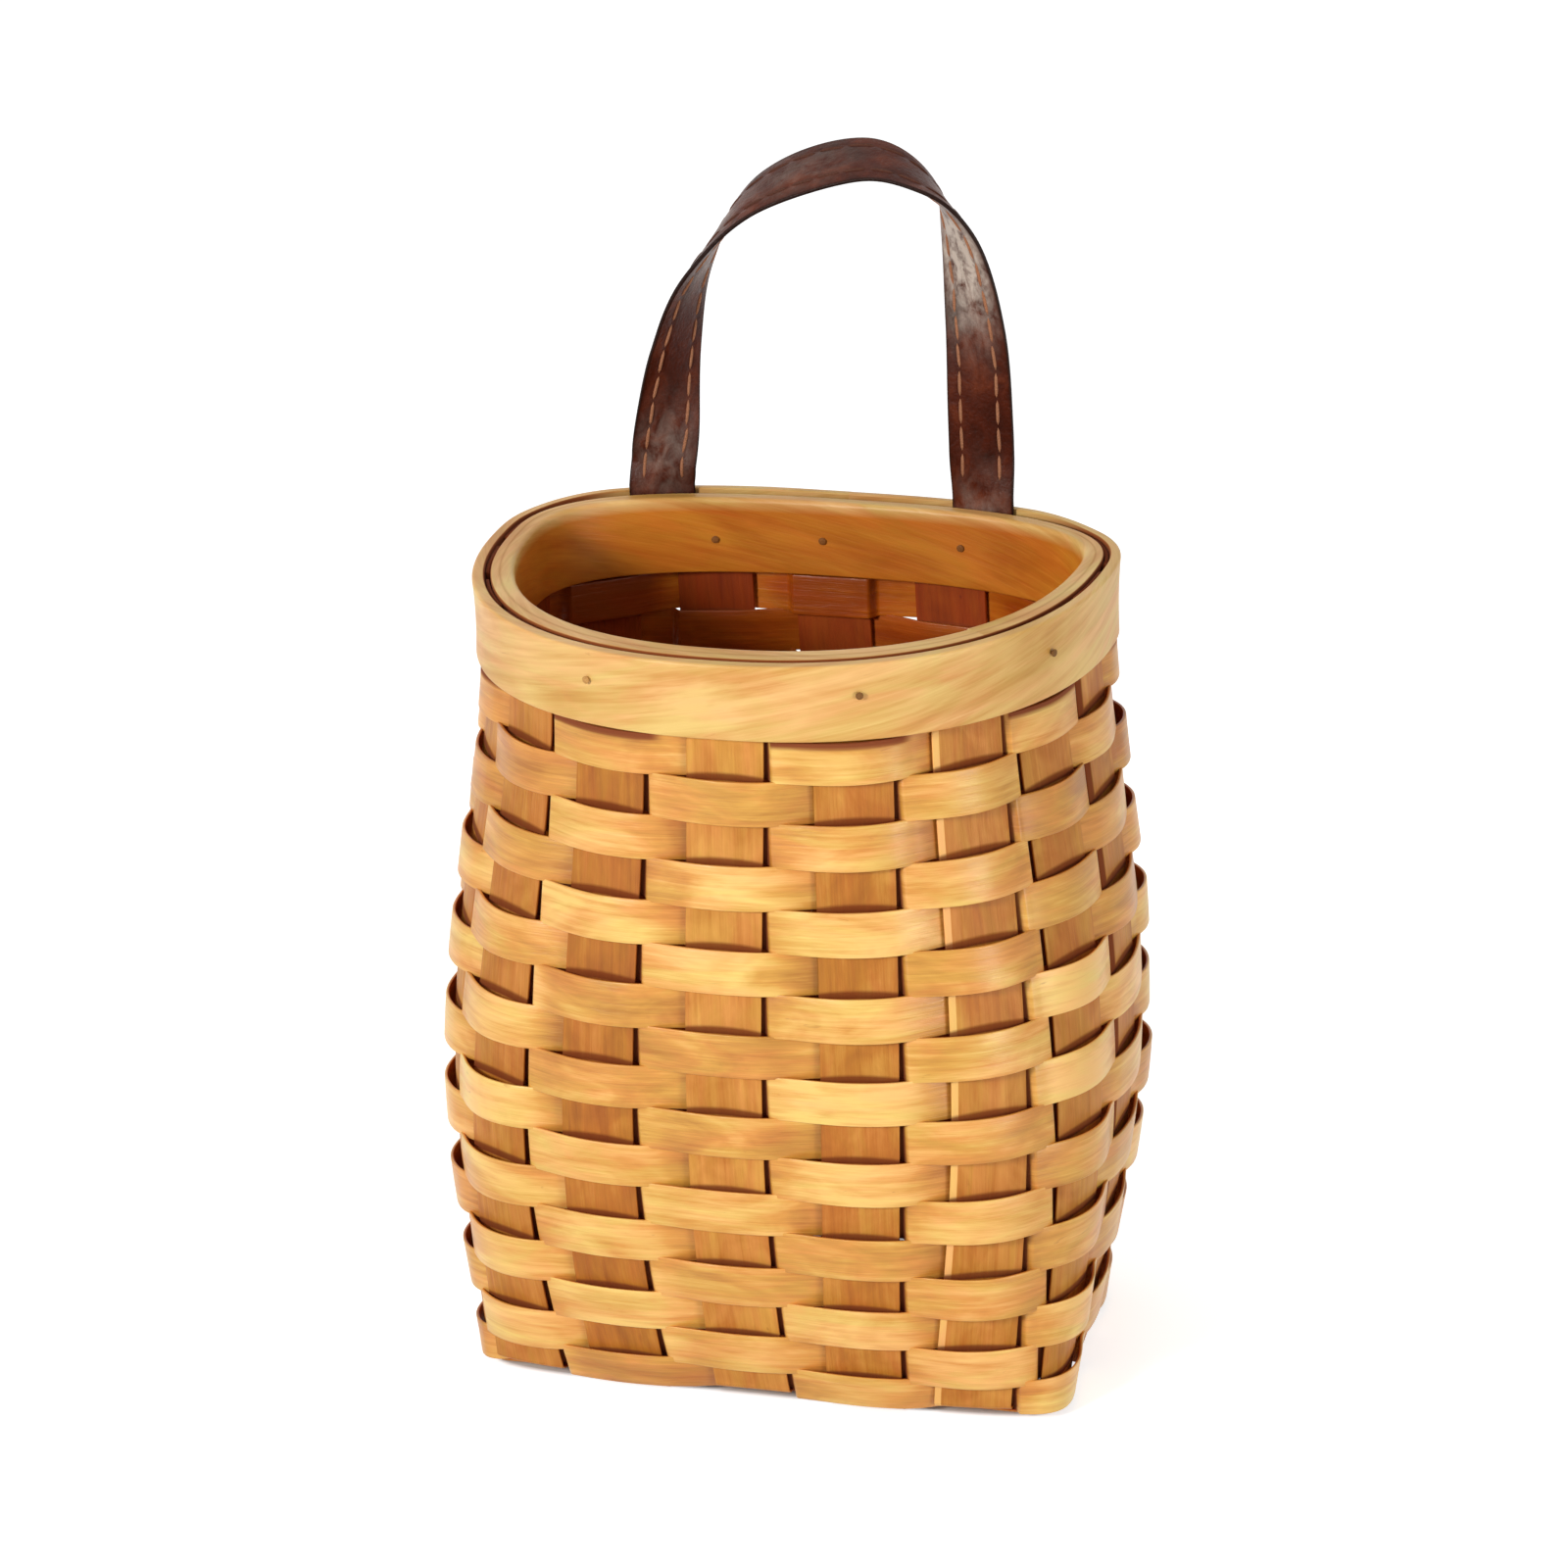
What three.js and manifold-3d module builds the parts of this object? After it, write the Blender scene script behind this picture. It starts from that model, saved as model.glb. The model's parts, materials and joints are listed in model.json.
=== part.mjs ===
// A wall basket of flat wood splints: seventeen rings woven round eight stake strips that cross under
// the base, two bent hoops that clamp the rim, brads through the hoops, and a twisted leather loop.
// Millimetres, +Z up, the front towards -Y, the back that hangs on the wall towards +Y.
import * as THREE from "three";
import { mergeVertices } from "three/addons/utils/BufferGeometryUtils.js";
import Module from "manifold-3d";

const wasm = await Module();
wasm.setup();

// Body: half the width at the widest level, the reach from the back to the front, and the rim's height.
const bodyHalfWidth = 104.8;
const bodyReach = 149;
const rimHeight = 253.4;

// Splints: thickness, a stake's width, and the clearances where they pass each other.
const splintThickness = 1;
const stakeWidth = 24;
const passClearance = 0.35;
const crownRise = 0.8;
const edgeOverrun = 0.4;
const rowGap = 0.4;
const rowCount = 17;

// Base: the height of the bend from the walls, how far it comes in, and the gap between crossing strips.
const bendHeight = 4.9;
const bendReach = 4.5;
const crossingGap = 0.3;
const crossingMargin = 2;

// Hoops: band depth, how far they reach below the top row, thicknesses, clearance and edge rounding.
const hoopDepth = 24.6;
const hoopLift = 0.8;
const innerHoopSide = 6.9;
const innerHoopSwell = 2.1;
const outerHoopSide = 3.6;
const outerHoopSwell = 0.7;
const hoopClearance = 0.45;
const innerHoopRound = 2.4;
const outerHoopRound = 1.1;
const wallSeatDepth = 0.7;
const stakeSetBack = 1;

// Leather strap: width, thickness, the loop's rise over its hinge line, and how deep the ends are held.
const strapWidth = 20.8;
const strapThickness = 2.6;
const loopRise = 109.2;
const strapHold = 22;
const strapClearance = 0.3;
const strapTopStand = 0.5;

// Brads: pin and head radii, head thickness, the hole's clearance and the length of the pin.
const bradRadius = 0.6;
const bradHeadRadius = 1.2;
const bradHeadThickness = 0.5;
const bradClearance = 0.3;
const bradLength = 9;
const bradHoleOverrun = 1.5;

// The body's level curves are half superellipses. These run at even heights from the base to the rim.
const widthShares = [0.883, 0.966, 1, 0.94, 0.9065];
const frontShares = [0.842, 0.97, 1, 0.973, 0.9765];
const widestShares = [0.752, 0.443, 0.3255];
const backShares = [0.0067, 0, 0];
const frontPowers = [3.4, 2.7, 2.22];
const backPowers = [5.4, 2.75, 2.65];
const baseTaper = 0.03;
const taperShare = 0.395;

// Places round the body are shares of a level's length, from the front centre and towards +X.
// Each strip is listed by its two walls, each wall with its place at the base, mid height and rim.
const longStripShares = [
  [[0.862, 0.868, 0.8728], [0.62, 0.637, 0.648]],
  [[0.924, 0.932, 0.9374], [0.56, 0.572, 0.581]],
  [[-0.004, 0.0005, 0.008], [0.502, 0.505, 0.512]],
  [[0.0615, 0.071, 0.079], [0.445, 0.438, 0.438]],
  [[0.122, 0.137, 0.145], [0.385, 0.372, 0.367]],
];
const crossStripShares = [
  [[0.18, 0.196, 0.199], [0.815, 0.808, 0.818]],
  [[0.253, 0.2535, 0.258], [0.747, 0.752, 0.763]],
  [[0.325, 0.314, 0.313], [0.68, 0.695, 0.705]],
];
const strapShares = [0.6075, 0.4184];
const bulgeShares = [0.34, 0.392, 0.634, 0.686];
const frontBradShares = [0.931, 0.081, 0.1995];
const backBradShares = [0.5765, 0.5115, 0.426];
const bradDepthShares = [0.4, 0.4, 0.44, 0.55, 0.52, 0.46];

// The loop's path: shares of half the span between its legs and of its rise, then its turn in degrees.
const loopSpanShares = [-1, -0.986, -0.906, -0.736, -0.33, 0.309, 0.723, 0.93, 1.01, 1.008, 1];
const loopRiseShares = [0, 0.145, 0.412, 0.654, 0.886, 1, 0.931, 0.79, 0.521, 0.244, 0];
const loopTurns = [
  -90, -88, -70, -49, -34, -22, -9, 6, 20, 27, 23, 9, -8, -27, -46, -62, -75, -85, -90, -91, -90,
];

const curveSteps = 720;
const loopSteps = 44;
const bendSteps = 4;
const tipSteps = 3;

const UP = new THREE.Vector3(0, 0, 1);

const materials = {
  weaver: { color: "#c9955a", roughness: 0.55, metalness: 0 },
  stake: { color: "#ad7850", roughness: 0.55, metalness: 0 },
  hoop: { color: "#dfbd8c", roughness: 0.5, metalness: 0 },
  leather: { color: "#4b2d24", roughness: 0.6, metalness: 0 },
  brad: { color: "#8d8578", roughness: 0.35, metalness: 1 },
};

const basket = new THREE.Group();

function addMesh(name, kind, geometry) {
  const mesh = new THREE.Mesh(geometry, new THREE.MeshStandardMaterial(materials[kind]));
  mesh.name = name;
  basket.add(mesh);
  return mesh;
}

// The polynomial through evenly spaced values, at the share u of the way along them.
function through(values, u) {
  const last = values.length - 1;
  return values.reduce((sum, value, i) => {
    const weight = values.reduce((w, _, j) => (i === j ? w : (w * (u * last - j)) / (i - j)), 1);
    return sum + value * weight;
  }, 0);
}

// Catmull-Rom interpolation through evenly spaced values.
function along(values, u) {
  const last = values.length - 1;
  const i = Math.min(Math.floor(u * last), last - 1);
  const t = u * last - i;
  const before = values[i - 1] ?? 2 * values[i] - values[i + 1];
  const after = values[i + 2] ?? 2 * values[i + 1] - values[i];
  const slopeIn = (values[i + 1] - before) / 2;
  const slopeOut = (after - values[i]) / 2;
  const rise = values[i + 1] - values[i];
  const bend = 3 * rise - 2 * slopeIn - slopeOut;
  const twist = slopeIn + slopeOut - 2 * rise;
  return values[i] + t * (slopeIn + t * (bend + t * twist));
}

const signedPower = (value, power) => Math.sign(value) * Math.abs(value) ** power;

// The closed curve of the wall's middle surface at a height, with its running length.
function makeLevel(height) {
  const u = height / rimHeight;
  const halfWidth = bodyHalfWidth * through(widthShares, u);
  const front = -bodyReach * through(frontShares, u);
  const widest = -bodyReach * through(widestShares, u);
  const back = -bodyReach * through(backShares, u);
  const narrowing = baseTaper * Math.max(0, 1 - u / taperShare) ** 1.5;
  const points = [];
  for (let i = 0; i <= curveSteps; i++) {
    const angle = (2 * Math.PI * i) / curveSteps - Math.PI / 2;
    const inFront = Math.sin(angle) < 0;
    const power = 2 / through(inFront ? frontPowers : backPowers, u);
    const depth = signedPower(Math.sin(angle), power);
    const x = halfWidth * signedPower(Math.cos(angle), power) * (1 - narrowing * Math.max(0, depth));
    points.push(new THREE.Vector3(x, widest + (inFront ? widest - front : back - widest) * depth, height));
  }
  const lengths = [0];
  for (let i = 1; i <= curveSteps; i++) lengths.push(lengths[i - 1] + points[i].distanceTo(points[i - 1]));
  return { points, lengths, perimeter: lengths[curveSteps] };
}

const levels = new Map();
function levelAt(height) {
  if (!levels.has(height)) levels.set(height, makeLevel(height));
  return levels.get(height);
}

// The point and outward normal of the wall's middle surface at a height and a share of the way round.
function wallPlace(height, share) {
  const { points, lengths, perimeter } = levelAt(height);
  const length = (share - Math.floor(share)) * perimeter;
  let i = Math.min(Math.floor((length / perimeter) * curveSteps), curveSteps - 1);
  while (i > 0 && lengths[i] > length) i--;
  while (i < curveSteps - 1 && lengths[i + 1] < length) i++;
  const part = (length - lengths[i]) / (lengths[i + 1] - lengths[i]);
  const edgeNormal = (k) => {
    const before = points[(k - 1 + curveSteps) % curveSteps];
    const after = points[(k + 1) % curveSteps];
    return new THREE.Vector3(after.y - before.y, before.x - after.x, 0).normalize();
  };
  const normal = edgeNormal(i).lerp(edgeNormal((i + 1) % curveSteps), part).normalize();
  return { point: points[i].clone().lerp(points[i + 1], part), normal };
}

function wallPoint(height, share, offset) {
  const { point, normal } = wallPlace(height, share);
  return point.addScaledVector(normal, offset);
}

// A closed body from cross-sections, each with as many outer points as inner points.
// Facing outer and inner points are joined across each end, or the last section meets the first.
function bandGeometry(sections, closed = false) {
  const count = sections[0].outer.length;
  const positions = [];
  const quad = (a, b, c, d) => {
    for (const p of [a, b, c, a, c, d]) positions.push(p.x, p.y, p.z);
  };
  const steps = closed ? sections.length : sections.length - 1;
  for (let s = 0; s < steps; s++) {
    const here = sections[s];
    const next = sections[(s + 1) % sections.length];
    for (let i = 0; i < count - 1; i++) {
      quad(here.outer[i], next.outer[i], next.outer[i + 1], here.outer[i + 1]);
      quad(here.inner[i + 1], next.inner[i + 1], next.inner[i], here.inner[i]);
    }
    quad(here.inner[0], next.inner[0], next.outer[0], here.outer[0]);
    quad(here.outer.at(-1), next.outer.at(-1), next.inner.at(-1), here.inner.at(-1));
  }
  if (!closed) {
    const start = sections[0];
    const end = sections.at(-1);
    for (let i = 0; i < count - 1; i++) {
      quad(start.outer[i], start.outer[i + 1], start.inner[i + 1], start.inner[i]);
      quad(end.outer[i + 1], end.outer[i], end.inner[i], end.inner[i + 1]);
    }
  }
  const geometry = new THREE.BufferGeometry();
  geometry.setAttribute("position", new THREE.Float32BufferAttribute(positions, 3));
  return faceOutwards(geometry);
}

// Turns every face round if the body's volume comes out negative.
function faceOutwards(geometry) {
  const position = geometry.getAttribute("position");
  const [a, b, c] = Array.from({ length: 3 }, () => new THREE.Vector3());
  const readTriangle = (i) => [a, b, c].forEach((corner, k) => corner.fromBufferAttribute(position, i + k));
  let volume = 0;
  for (let i = 0; i < position.count; i += 3) {
    readTriangle(i);
    volume += a.dot(b.clone().cross(c));
  }
  if (volume < 0) {
    for (let i = 0; i < position.count; i += 3) {
      readTriangle(i);
      position.setXYZ(i + 1, c.x, c.y, c.z);
      position.setXYZ(i + 2, b.x, b.y, b.z);
    }
  }
  return geometry;
}

function solidOf(geometry) {
  const bare = geometry.index ? geometry.toNonIndexed() : geometry.clone();
  bare.deleteAttribute("normal");
  bare.deleteAttribute("uv");
  const merged = mergeVertices(bare, bradClearance / 1000);
  return new wasm.Manifold(
    new wasm.Mesh({
      numProp: 3,
      vertProperties: merged.getAttribute("position").array,
      triVerts: new Uint32Array(merged.index.array),
    }),
  );
}

// A geometry with each of the cutters taken out of it, where their boxes meet.
function cutAway(geometry, cutters) {
  geometry.computeBoundingBox();
  let solid = solidOf(geometry);
  for (const cutter of cutters) {
    cutter.computeBoundingBox();
    if (cutter.boundingBox.intersectsBox(geometry.boundingBox)) solid = solid.subtract(solidOf(cutter));
  }
  const mesh = solid.getMesh();
  const cut = new THREE.BufferGeometry();
  cut.setAttribute("position", new THREE.Float32BufferAttribute(mesh.vertProperties, 3));
  cut.setIndex(new THREE.BufferAttribute(mesh.triVerts, 1));
  return cut;
}

// Heights that the rows, the base and the rim share.
const weaveTop = rimHeight - hoopDepth - hoopLift;
const rowPitch = weaveTop / rowCount;
const rowTop = (row) => weaveTop - rowPitch * (row - 1);
const hoopBottom = rimHeight - hoopDepth;
const hoopMiddle = rimHeight - hoopDepth / 2;
const stakeTop = rimHeight - stakeSetBack;
const underLevel = splintThickness / 2;
const crossLevel = underLevel + splintThickness + crossingGap;
const overLevel = crossLevel + splintThickness + crossingGap;
const lowestRowEdge = overLevel + splintThickness / 2 + 4 * crossingGap;

// The stakes in order round the body, by their places at the base, and the share of each at a height.
const stakeRing = [...longStripShares, ...crossStripShares].flat().sort(([a], [b]) => a - b);
const stakeShare = (places, height) => through(places, height / rimHeight);

const stakeHolds = splintThickness / 2 + hoopClearance;
const strapMiddle = splintThickness / 2 + strapClearance + strapThickness / 2;
const strapBulge = strapMiddle + strapThickness / 2 + strapClearance;

// How far the outer hoop is pushed off the stakes by the strap ends, from none to the whole bulge.
function bulgeAt(share) {
  const [riseStart, riseEnd, fallStart, fallEnd] = bulgeShares;
  const rise = THREE.MathUtils.smoothstep(share, riseStart, riseEnd);
  const fall = THREE.MathUtils.smoothstep(share, fallStart, fallEnd);
  return stakeHolds + (strapBulge - stakeHolds) * (rise - fall);
}
const innerHoopAt = (share) => innerHoopSide + innerHoopSwell * Math.cos(2 * Math.PI * share);
const outerHoopAt = (share) => outerHoopSide + outerHoopSwell * Math.cos(2 * Math.PI * share);
const wallSeat = wallPoint(rimHeight, 0.5, strapBulge + outerHoopAt(0.5)).y - wallSeatDepth;

// One woven ring. It passes outside every other stake and inside the rest, and swaps with each row.
function makeWeaver(row) {
  const top = rowTop(row) - rowGap / 2;
  const bottom = Math.max(rowTop(row + 1) + rowGap / 2, lowestRowEdge);
  const middle = (top + bottom) / 2;
  const passOffset = splintThickness + passClearance;
  const sections = [];
  stakeRing.forEach((places, index) => {
    const side = (index + row) % 2 === 0 ? 1 : -1;
    const centre = stakeShare(places, middle);
    for (const across of [-1, 0, 1]) {
      const shift = (across * (stakeWidth / 2 + edgeOverrun)) / levelAt(middle).perimeter;
      const offset = side * (passOffset + (across === 0 ? crownRise : 0));
      const corner = (height, face) =>
        wallPoint(height, centre + shift, offset + (face * splintThickness) / 2);
      sections.push({
        outer: [corner(bottom, 1), corner(top, 1)],
        inner: [corner(bottom, -1), corner(top, -1)],
      });
    }
  });
  return bandGeometry(sections, true);
}

// Three points across a strip on its wall, with the outward directions of its faces.
function wallRow(places, height, side) {
  const centre = stakeShare(places, height);
  return [-1, 0, 1].map((across) => {
    const shift = (side * across * stakeWidth) / 2 / levelAt(height).perimeter;
    return wallPlace(height, centre + shift);
  });
}

const sectionOf = (row) => ({
  outer: row.map(({ point, normal }) => point.clone().addScaledVector(normal, splintThickness / 2)),
  inner: row.map(({ point, normal }) => point.clone().addScaledVector(normal, -splintThickness / 2)),
});

// The heights at which a strip's wall has a section. The lower rows, where the wall curves most, have each.
const wallHeights = [stakeTop, hoopBottom];
for (let row = 1; row <= rowCount; row++) {
  if (row % 2 === 0 || row > rowCount / 2) wallHeights.push(rowTop(row));
}

// The bend from the foot of a wall to the base: a quarter ellipse towards the far wall.
function bendRows(foot, inward, level) {
  const rows = [];
  for (let i = 0; i <= bendSteps; i++) {
    const angle = (Math.PI / 2) * (i / bendSteps);
    rows.push(
      foot.map(({ point, normal }) => ({
        point: point
          .clone()
          .addScaledVector(inward, bendReach * (1 - Math.cos(angle)))
          .addScaledVector(UP, (level - bendHeight) * Math.sin(angle)),
        normal: normal
          .clone()
          .multiplyScalar(Math.cos(angle))
          .addScaledVector(UP, -Math.sin(angle)),
      })),
    );
  }
  return rows;
}

// A whole strip: down one wall, across the base and up the other. Crossings gives the stretches of
// the base, as shares of the way across, with the strip's level on each.
function makeStrip(places, startLevel, crossings) {
  const startFoot = wallRow(places[0], bendHeight, 1);
  const endFoot = wallRow(places[1], bendHeight, -1);
  const inward = endFoot[1].point.clone().sub(startFoot[1].point).normalize();
  const down = wallHeights.map((height) => wallRow(places[0], height, 1));
  const up = wallHeights.map((height) => wallRow(places[1], height, -1)).reverse();
  const startBend = bendRows(startFoot, inward, startLevel);
  const endBend = bendRows(endFoot, inward.clone().negate(), startLevel).reverse();
  const from = startBend.at(-1);
  const to = endBend[0];
  const base = crossings.map(({ share, level }) =>
    from.map(({ point }, i) => {
      const place = point.clone().lerp(to[i].point, share);
      place.z = level;
      return { point: place, normal: UP.clone().negate() };
    }),
  );
  return bandGeometry([...down, ...startBend, ...base, ...endBend, ...up].map(sectionOf));
}

// Where a long strip crosses the strips below or above it, as shares of the way across the base.
function crossingStretches(places, first) {
  const ends = (strip) => {
    const [a, b] = strip.map((wall) => wallPlace(bendHeight, stakeShare(wall, bendHeight)).point);
    const inward = b.clone().sub(a).normalize().multiplyScalar(bendReach);
    return [a.add(inward), b.sub(inward)];
  };
  const [start, end] = ends(places);
  const run = end.clone().sub(start);
  const halfHold = (stakeWidth / 2 + crossingMargin) / run.length();
  const stretches = [];
  crossStripShares.forEach((strip, index) => {
    const [a, b] = ends(strip);
    const other = b.clone().sub(a);
    const away = a.clone().sub(start);
    const share = (away.x * other.y - away.y * other.x) / (run.x * other.y - run.y * other.x);
    const level = (index + first) % 2 === 0 ? overLevel : underLevel;
    stretches.push({ share: share - halfHold, level });
    stretches.push({ share: share + halfHold, level });
  });
  return stretches.slice(1, -1);
}

// A bent hoop with its sections at the edges and middles of the stakes that it clamps. Face offsets
// are worked out from the place round the rim, and the back is flattened where it meets the wall.
function makeHoop(section) {
  const sections = [];
  const { perimeter } = levelAt(hoopMiddle);
  for (const places of stakeRing) {
    for (const across of [-1, 0, 1]) {
      const shift = (across * (stakeWidth / 2 + edgeOverrun)) / perimeter;
      const turned = stakeShare(places, hoopMiddle) + shift;
      const share = turned - Math.floor(turned);
      const place = ([height, offset]) => {
        const point = wallPoint(height, share, offset);
        point.y = Math.min(point.y, wallSeat);
        return point;
      };
      const { outer, inner } = section(share);
      sections.push({ outer: outer.map(place), inner: inner.map(place) });
    }
  }
  return bandGeometry(sections, true);
}

function innerHoopSection(share) {
  const near = -stakeHolds;
  const far = near - innerHoopAt(share);
  return {
    outer: [[hoopBottom, near], [rimHeight, near], [rimHeight, (near + far) / 2]],
    inner: [[hoopBottom, far], [rimHeight - innerHoopRound, far], [rimHeight, far + innerHoopRound]],
  };
}

function outerHoopSection(share) {
  const near = bulgeAt(share);
  const far = near + outerHoopAt(share);
  return {
    outer: [[hoopBottom, far], [rimHeight - outerHoopRound, far], [rimHeight, far - outerHoopRound]],
    inner: [[hoopBottom, near], [rimHeight - outerHoopRound, near], [rimHeight, near]],
  };
}

// A fixed end of the strap, held between the stakes and the outer hoop.
function makeStrapEnd(share) {
  const bottom = rimHeight - strapHold;
  const top = rimHeight + strapTopStand;
  const halfShare = strapWidth / 2 / levelAt(rimHeight).perimeter;
  const sections = [bottom, top].map((height) => {
    const face = (offset) =>
      [-1, 0, 1].map((across) => {
        const place = wallPoint(Math.min(height, rimHeight), share + across * halfShare, offset);
        return place.setZ(height);
      });
    return {
      outer: face(strapMiddle + strapThickness / 2),
      inner: face(strapMiddle - strapThickness / 2),
    };
  });
  return bandGeometry(sections);
}

// The hinge line of the loop runs through the middles of the strap's two ends, above the fixed leather.
const hingeHeight = rimHeight + strapTopStand + strapClearance + strapThickness / 2;
const [legStart, legEnd] = strapShares.map((share) =>
  wallPoint(rimHeight, share, strapMiddle).setZ(hingeHeight),
);
const hingeMiddle = legStart.clone().add(legEnd).multiplyScalar(0.5);
const hingeAxis = legEnd.clone().sub(legStart).normalize();
const hingeBack = UP.clone().cross(hingeAxis);
const halfSpan = legStart.distanceTo(legEnd) / 2;

function loopCentre(u) {
  return hingeMiddle
    .clone()
    .addScaledVector(hingeAxis, halfSpan * along(loopSpanShares, u))
    .addScaledVector(UP, loopRise * along(loopRiseShares, u));
}

// The loop's centre, width direction and face direction at the share u of its length.
function loopFrame(u) {
  const step = 0.5 / loopSteps;
  const ahead = loopCentre(Math.min(u + step, 1));
  const tangent = ahead.sub(loopCentre(Math.max(u - step, 0))).normalize();
  const turn = THREE.MathUtils.degToRad(along(loopTurns, u));
  const width = hingeBack
    .clone()
    .multiplyScalar(Math.cos(turn))
    .addScaledVector(tangent.clone().cross(hingeBack), Math.sin(turn));
  return { centre: loopCentre(u), tangent, width, face: width.clone().cross(tangent) };
}

function loopSection({ centre, width, face }, halfThickness) {
  const edge = (side) => centre.clone().addScaledVector(width, (side * strapWidth) / 2);
  const faceEdges = (side) => [-1, 1].map((e) => edge(e).addScaledVector(face, side * halfThickness));
  return { outer: faceEdges(1), inner: faceEdges(-1) };
}

// The rounded tip below the hinge line at one end of the loop.
function loopTip(frame, away) {
  const sections = [];
  for (let i = tipSteps; i > 0; i--) {
    const angle = (Math.PI / 2) * (i / (tipSteps + 0.2));
    const centre = frame.centre.clone().addScaledVector(away, (strapThickness / 2) * Math.sin(angle));
    sections.push(loopSection({ ...frame, centre }, (strapThickness / 2) * Math.cos(angle)));
  }
  return sections;
}

function makeLoop() {
  const frames = [];
  for (let i = 0; i <= loopSteps; i++) frames.push(loopFrame(i / loopSteps));
  for (const end of [frames[0], frames[loopSteps]]) {
    end.tangent.set(0, 0, Math.sign(end.tangent.z));
    end.width.copy(hingeAxis).multiplyScalar(end.tangent.z);
    end.face.crossVectors(end.width, end.tangent);
  }
  const down = UP.clone().negate();
  const startTip = loopTip(frames[0], down);
  const endTip = loopTip(frames[loopSteps], down).reverse();
  const body = frames.map((frame) => loopSection(frame, strapThickness / 2));
  return bandGeometry([...startTip, ...body, ...endTip]);
}

// A brad's place: the face it is driven through, and the direction that its head faces.
function bradPlace(share, depthShare, fromInside) {
  const outside = stakeHolds + outerHoopAt(share);
  const inside = -(stakeHolds + innerHoopAt(share));
  const offset = fromInside ? inside : outside;
  const top = wallPoint(rimHeight, share, offset);
  const rise = top.clone().sub(wallPoint(hoopBottom, share, offset));
  const { normal } = wallPlace(hoopMiddle, share);
  const direction = normal.projectOnPlane(rise.clone().normalize()).normalize();
  if (fromInside) direction.negate();
  return { point: top.addScaledVector(rise, -depthShare), direction };
}

function alongDirection(geometry, direction, point) {
  const turn = new THREE.Quaternion().setFromUnitVectors(new THREE.Vector3(0, 1, 0), direction);
  return geometry.applyQuaternion(turn).translate(point.x, point.y, point.z);
}

// A brad with its pin down and its head just clear of the hoop's face.
function makeBrad({ point, direction }) {
  const headBottom = bradClearance;
  const headTop = headBottom + bradHeadThickness;
  const outline = [
    [0, -bradLength],
    [bradRadius, bradRadius - bradLength],
    [bradRadius, headBottom],
    [bradHeadRadius, headBottom],
    [bradHeadRadius, headTop - bradHeadThickness / 3],
    [bradHeadRadius / 2, headTop],
    [0, headTop],
  ].map(([x, y]) => new THREE.Vector2(x, y));
  return alongDirection(new THREE.LatheGeometry(outline, 10), direction, point);
}

function makeBradHole({ point, direction }) {
  const length = bradLength + 2 * bradHoleOverrun;
  const hole = new THREE.CylinderGeometry(bradRadius + bradClearance, bradRadius + bradClearance, length, 10);
  hole.translate(0, bradHoleOverrun - length / 2, 0);
  return alongDirection(hole, direction, point);
}

const bradPlaces = [
  ...frontBradShares.map((share, i) => bradPlace(share, bradDepthShares[i], false)),
  ...backBradShares.map((share, i) => bradPlace(share, bradDepthShares[i + 3], true)),
];
const bradHoles = bradPlaces.map(makeBradHole);

for (let row = 1; row <= rowCount; row++) {
  addMesh(`weaver_row_${String(row).padStart(2, "0")}`, "weaver", makeWeaver(row));
}
longStripShares.forEach((places, i) => {
  const stretches = crossingStretches(places, i);
  const startLevel = i % 2 === 0 ? overLevel : underLevel;
  const strip = makeStrip(places, startLevel, stretches);
  addMesh(`stake_front_back_${i + 1}`, "stake", cutAway(strip, bradHoles));
});
crossStripShares.forEach((places, i) => {
  addMesh(`stake_side_side_${i + 1}`, "stake", cutAway(makeStrip(places, crossLevel, []), bradHoles));
});
addMesh("hoop_inner", "hoop", cutAway(makeHoop(innerHoopSection), bradHoles));
addMesh("hoop_outer", "hoop", cutAway(makeHoop(outerHoopSection), bradHoles));
["left", "right"].forEach((side, i) => {
  addMesh(`strap_end_${side}`, "leather", cutAway(makeStrapEnd(strapShares[i]), bradHoles));
});
addMesh("strap_loop", "leather", makeLoop());
bradPlaces.forEach((place, i) => {
  const side = i < frontBradShares.length ? "front" : "back";
  addMesh(`brad_${side}_${(i % frontBradShares.length) + 1}`, "brad", makeBrad(place));
});

// The origin is the middle of the base of the whole basket's box.
const box = new THREE.Box3().setFromObject(basket);
const middle = box.getCenter(new THREE.Vector3());
basket.position.set(-middle.x, -middle.y, -box.min.z);

export default basket;
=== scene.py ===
import json
import math
import bpy
import numpy as np
from mathutils import Matrix, Vector


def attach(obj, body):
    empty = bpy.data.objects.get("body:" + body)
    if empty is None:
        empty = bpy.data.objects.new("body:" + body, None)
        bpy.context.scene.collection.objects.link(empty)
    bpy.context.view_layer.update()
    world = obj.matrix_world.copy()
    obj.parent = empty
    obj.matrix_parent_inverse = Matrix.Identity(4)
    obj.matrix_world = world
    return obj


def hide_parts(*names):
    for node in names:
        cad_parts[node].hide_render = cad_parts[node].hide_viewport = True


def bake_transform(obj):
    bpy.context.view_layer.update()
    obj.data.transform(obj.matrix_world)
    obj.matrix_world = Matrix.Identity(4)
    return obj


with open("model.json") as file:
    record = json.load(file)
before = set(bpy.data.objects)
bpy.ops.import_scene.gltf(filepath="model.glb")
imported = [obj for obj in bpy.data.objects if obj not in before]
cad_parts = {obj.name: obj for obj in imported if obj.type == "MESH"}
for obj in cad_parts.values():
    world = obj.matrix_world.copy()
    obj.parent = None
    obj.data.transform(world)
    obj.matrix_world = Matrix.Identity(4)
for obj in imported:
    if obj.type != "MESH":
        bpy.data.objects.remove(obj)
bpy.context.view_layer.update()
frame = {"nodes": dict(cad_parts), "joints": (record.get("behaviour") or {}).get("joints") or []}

print("frame loaded with", len(frame["nodes"]), "nodes")
chance = np.random.default_rng(29)
metre = 0.001

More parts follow.
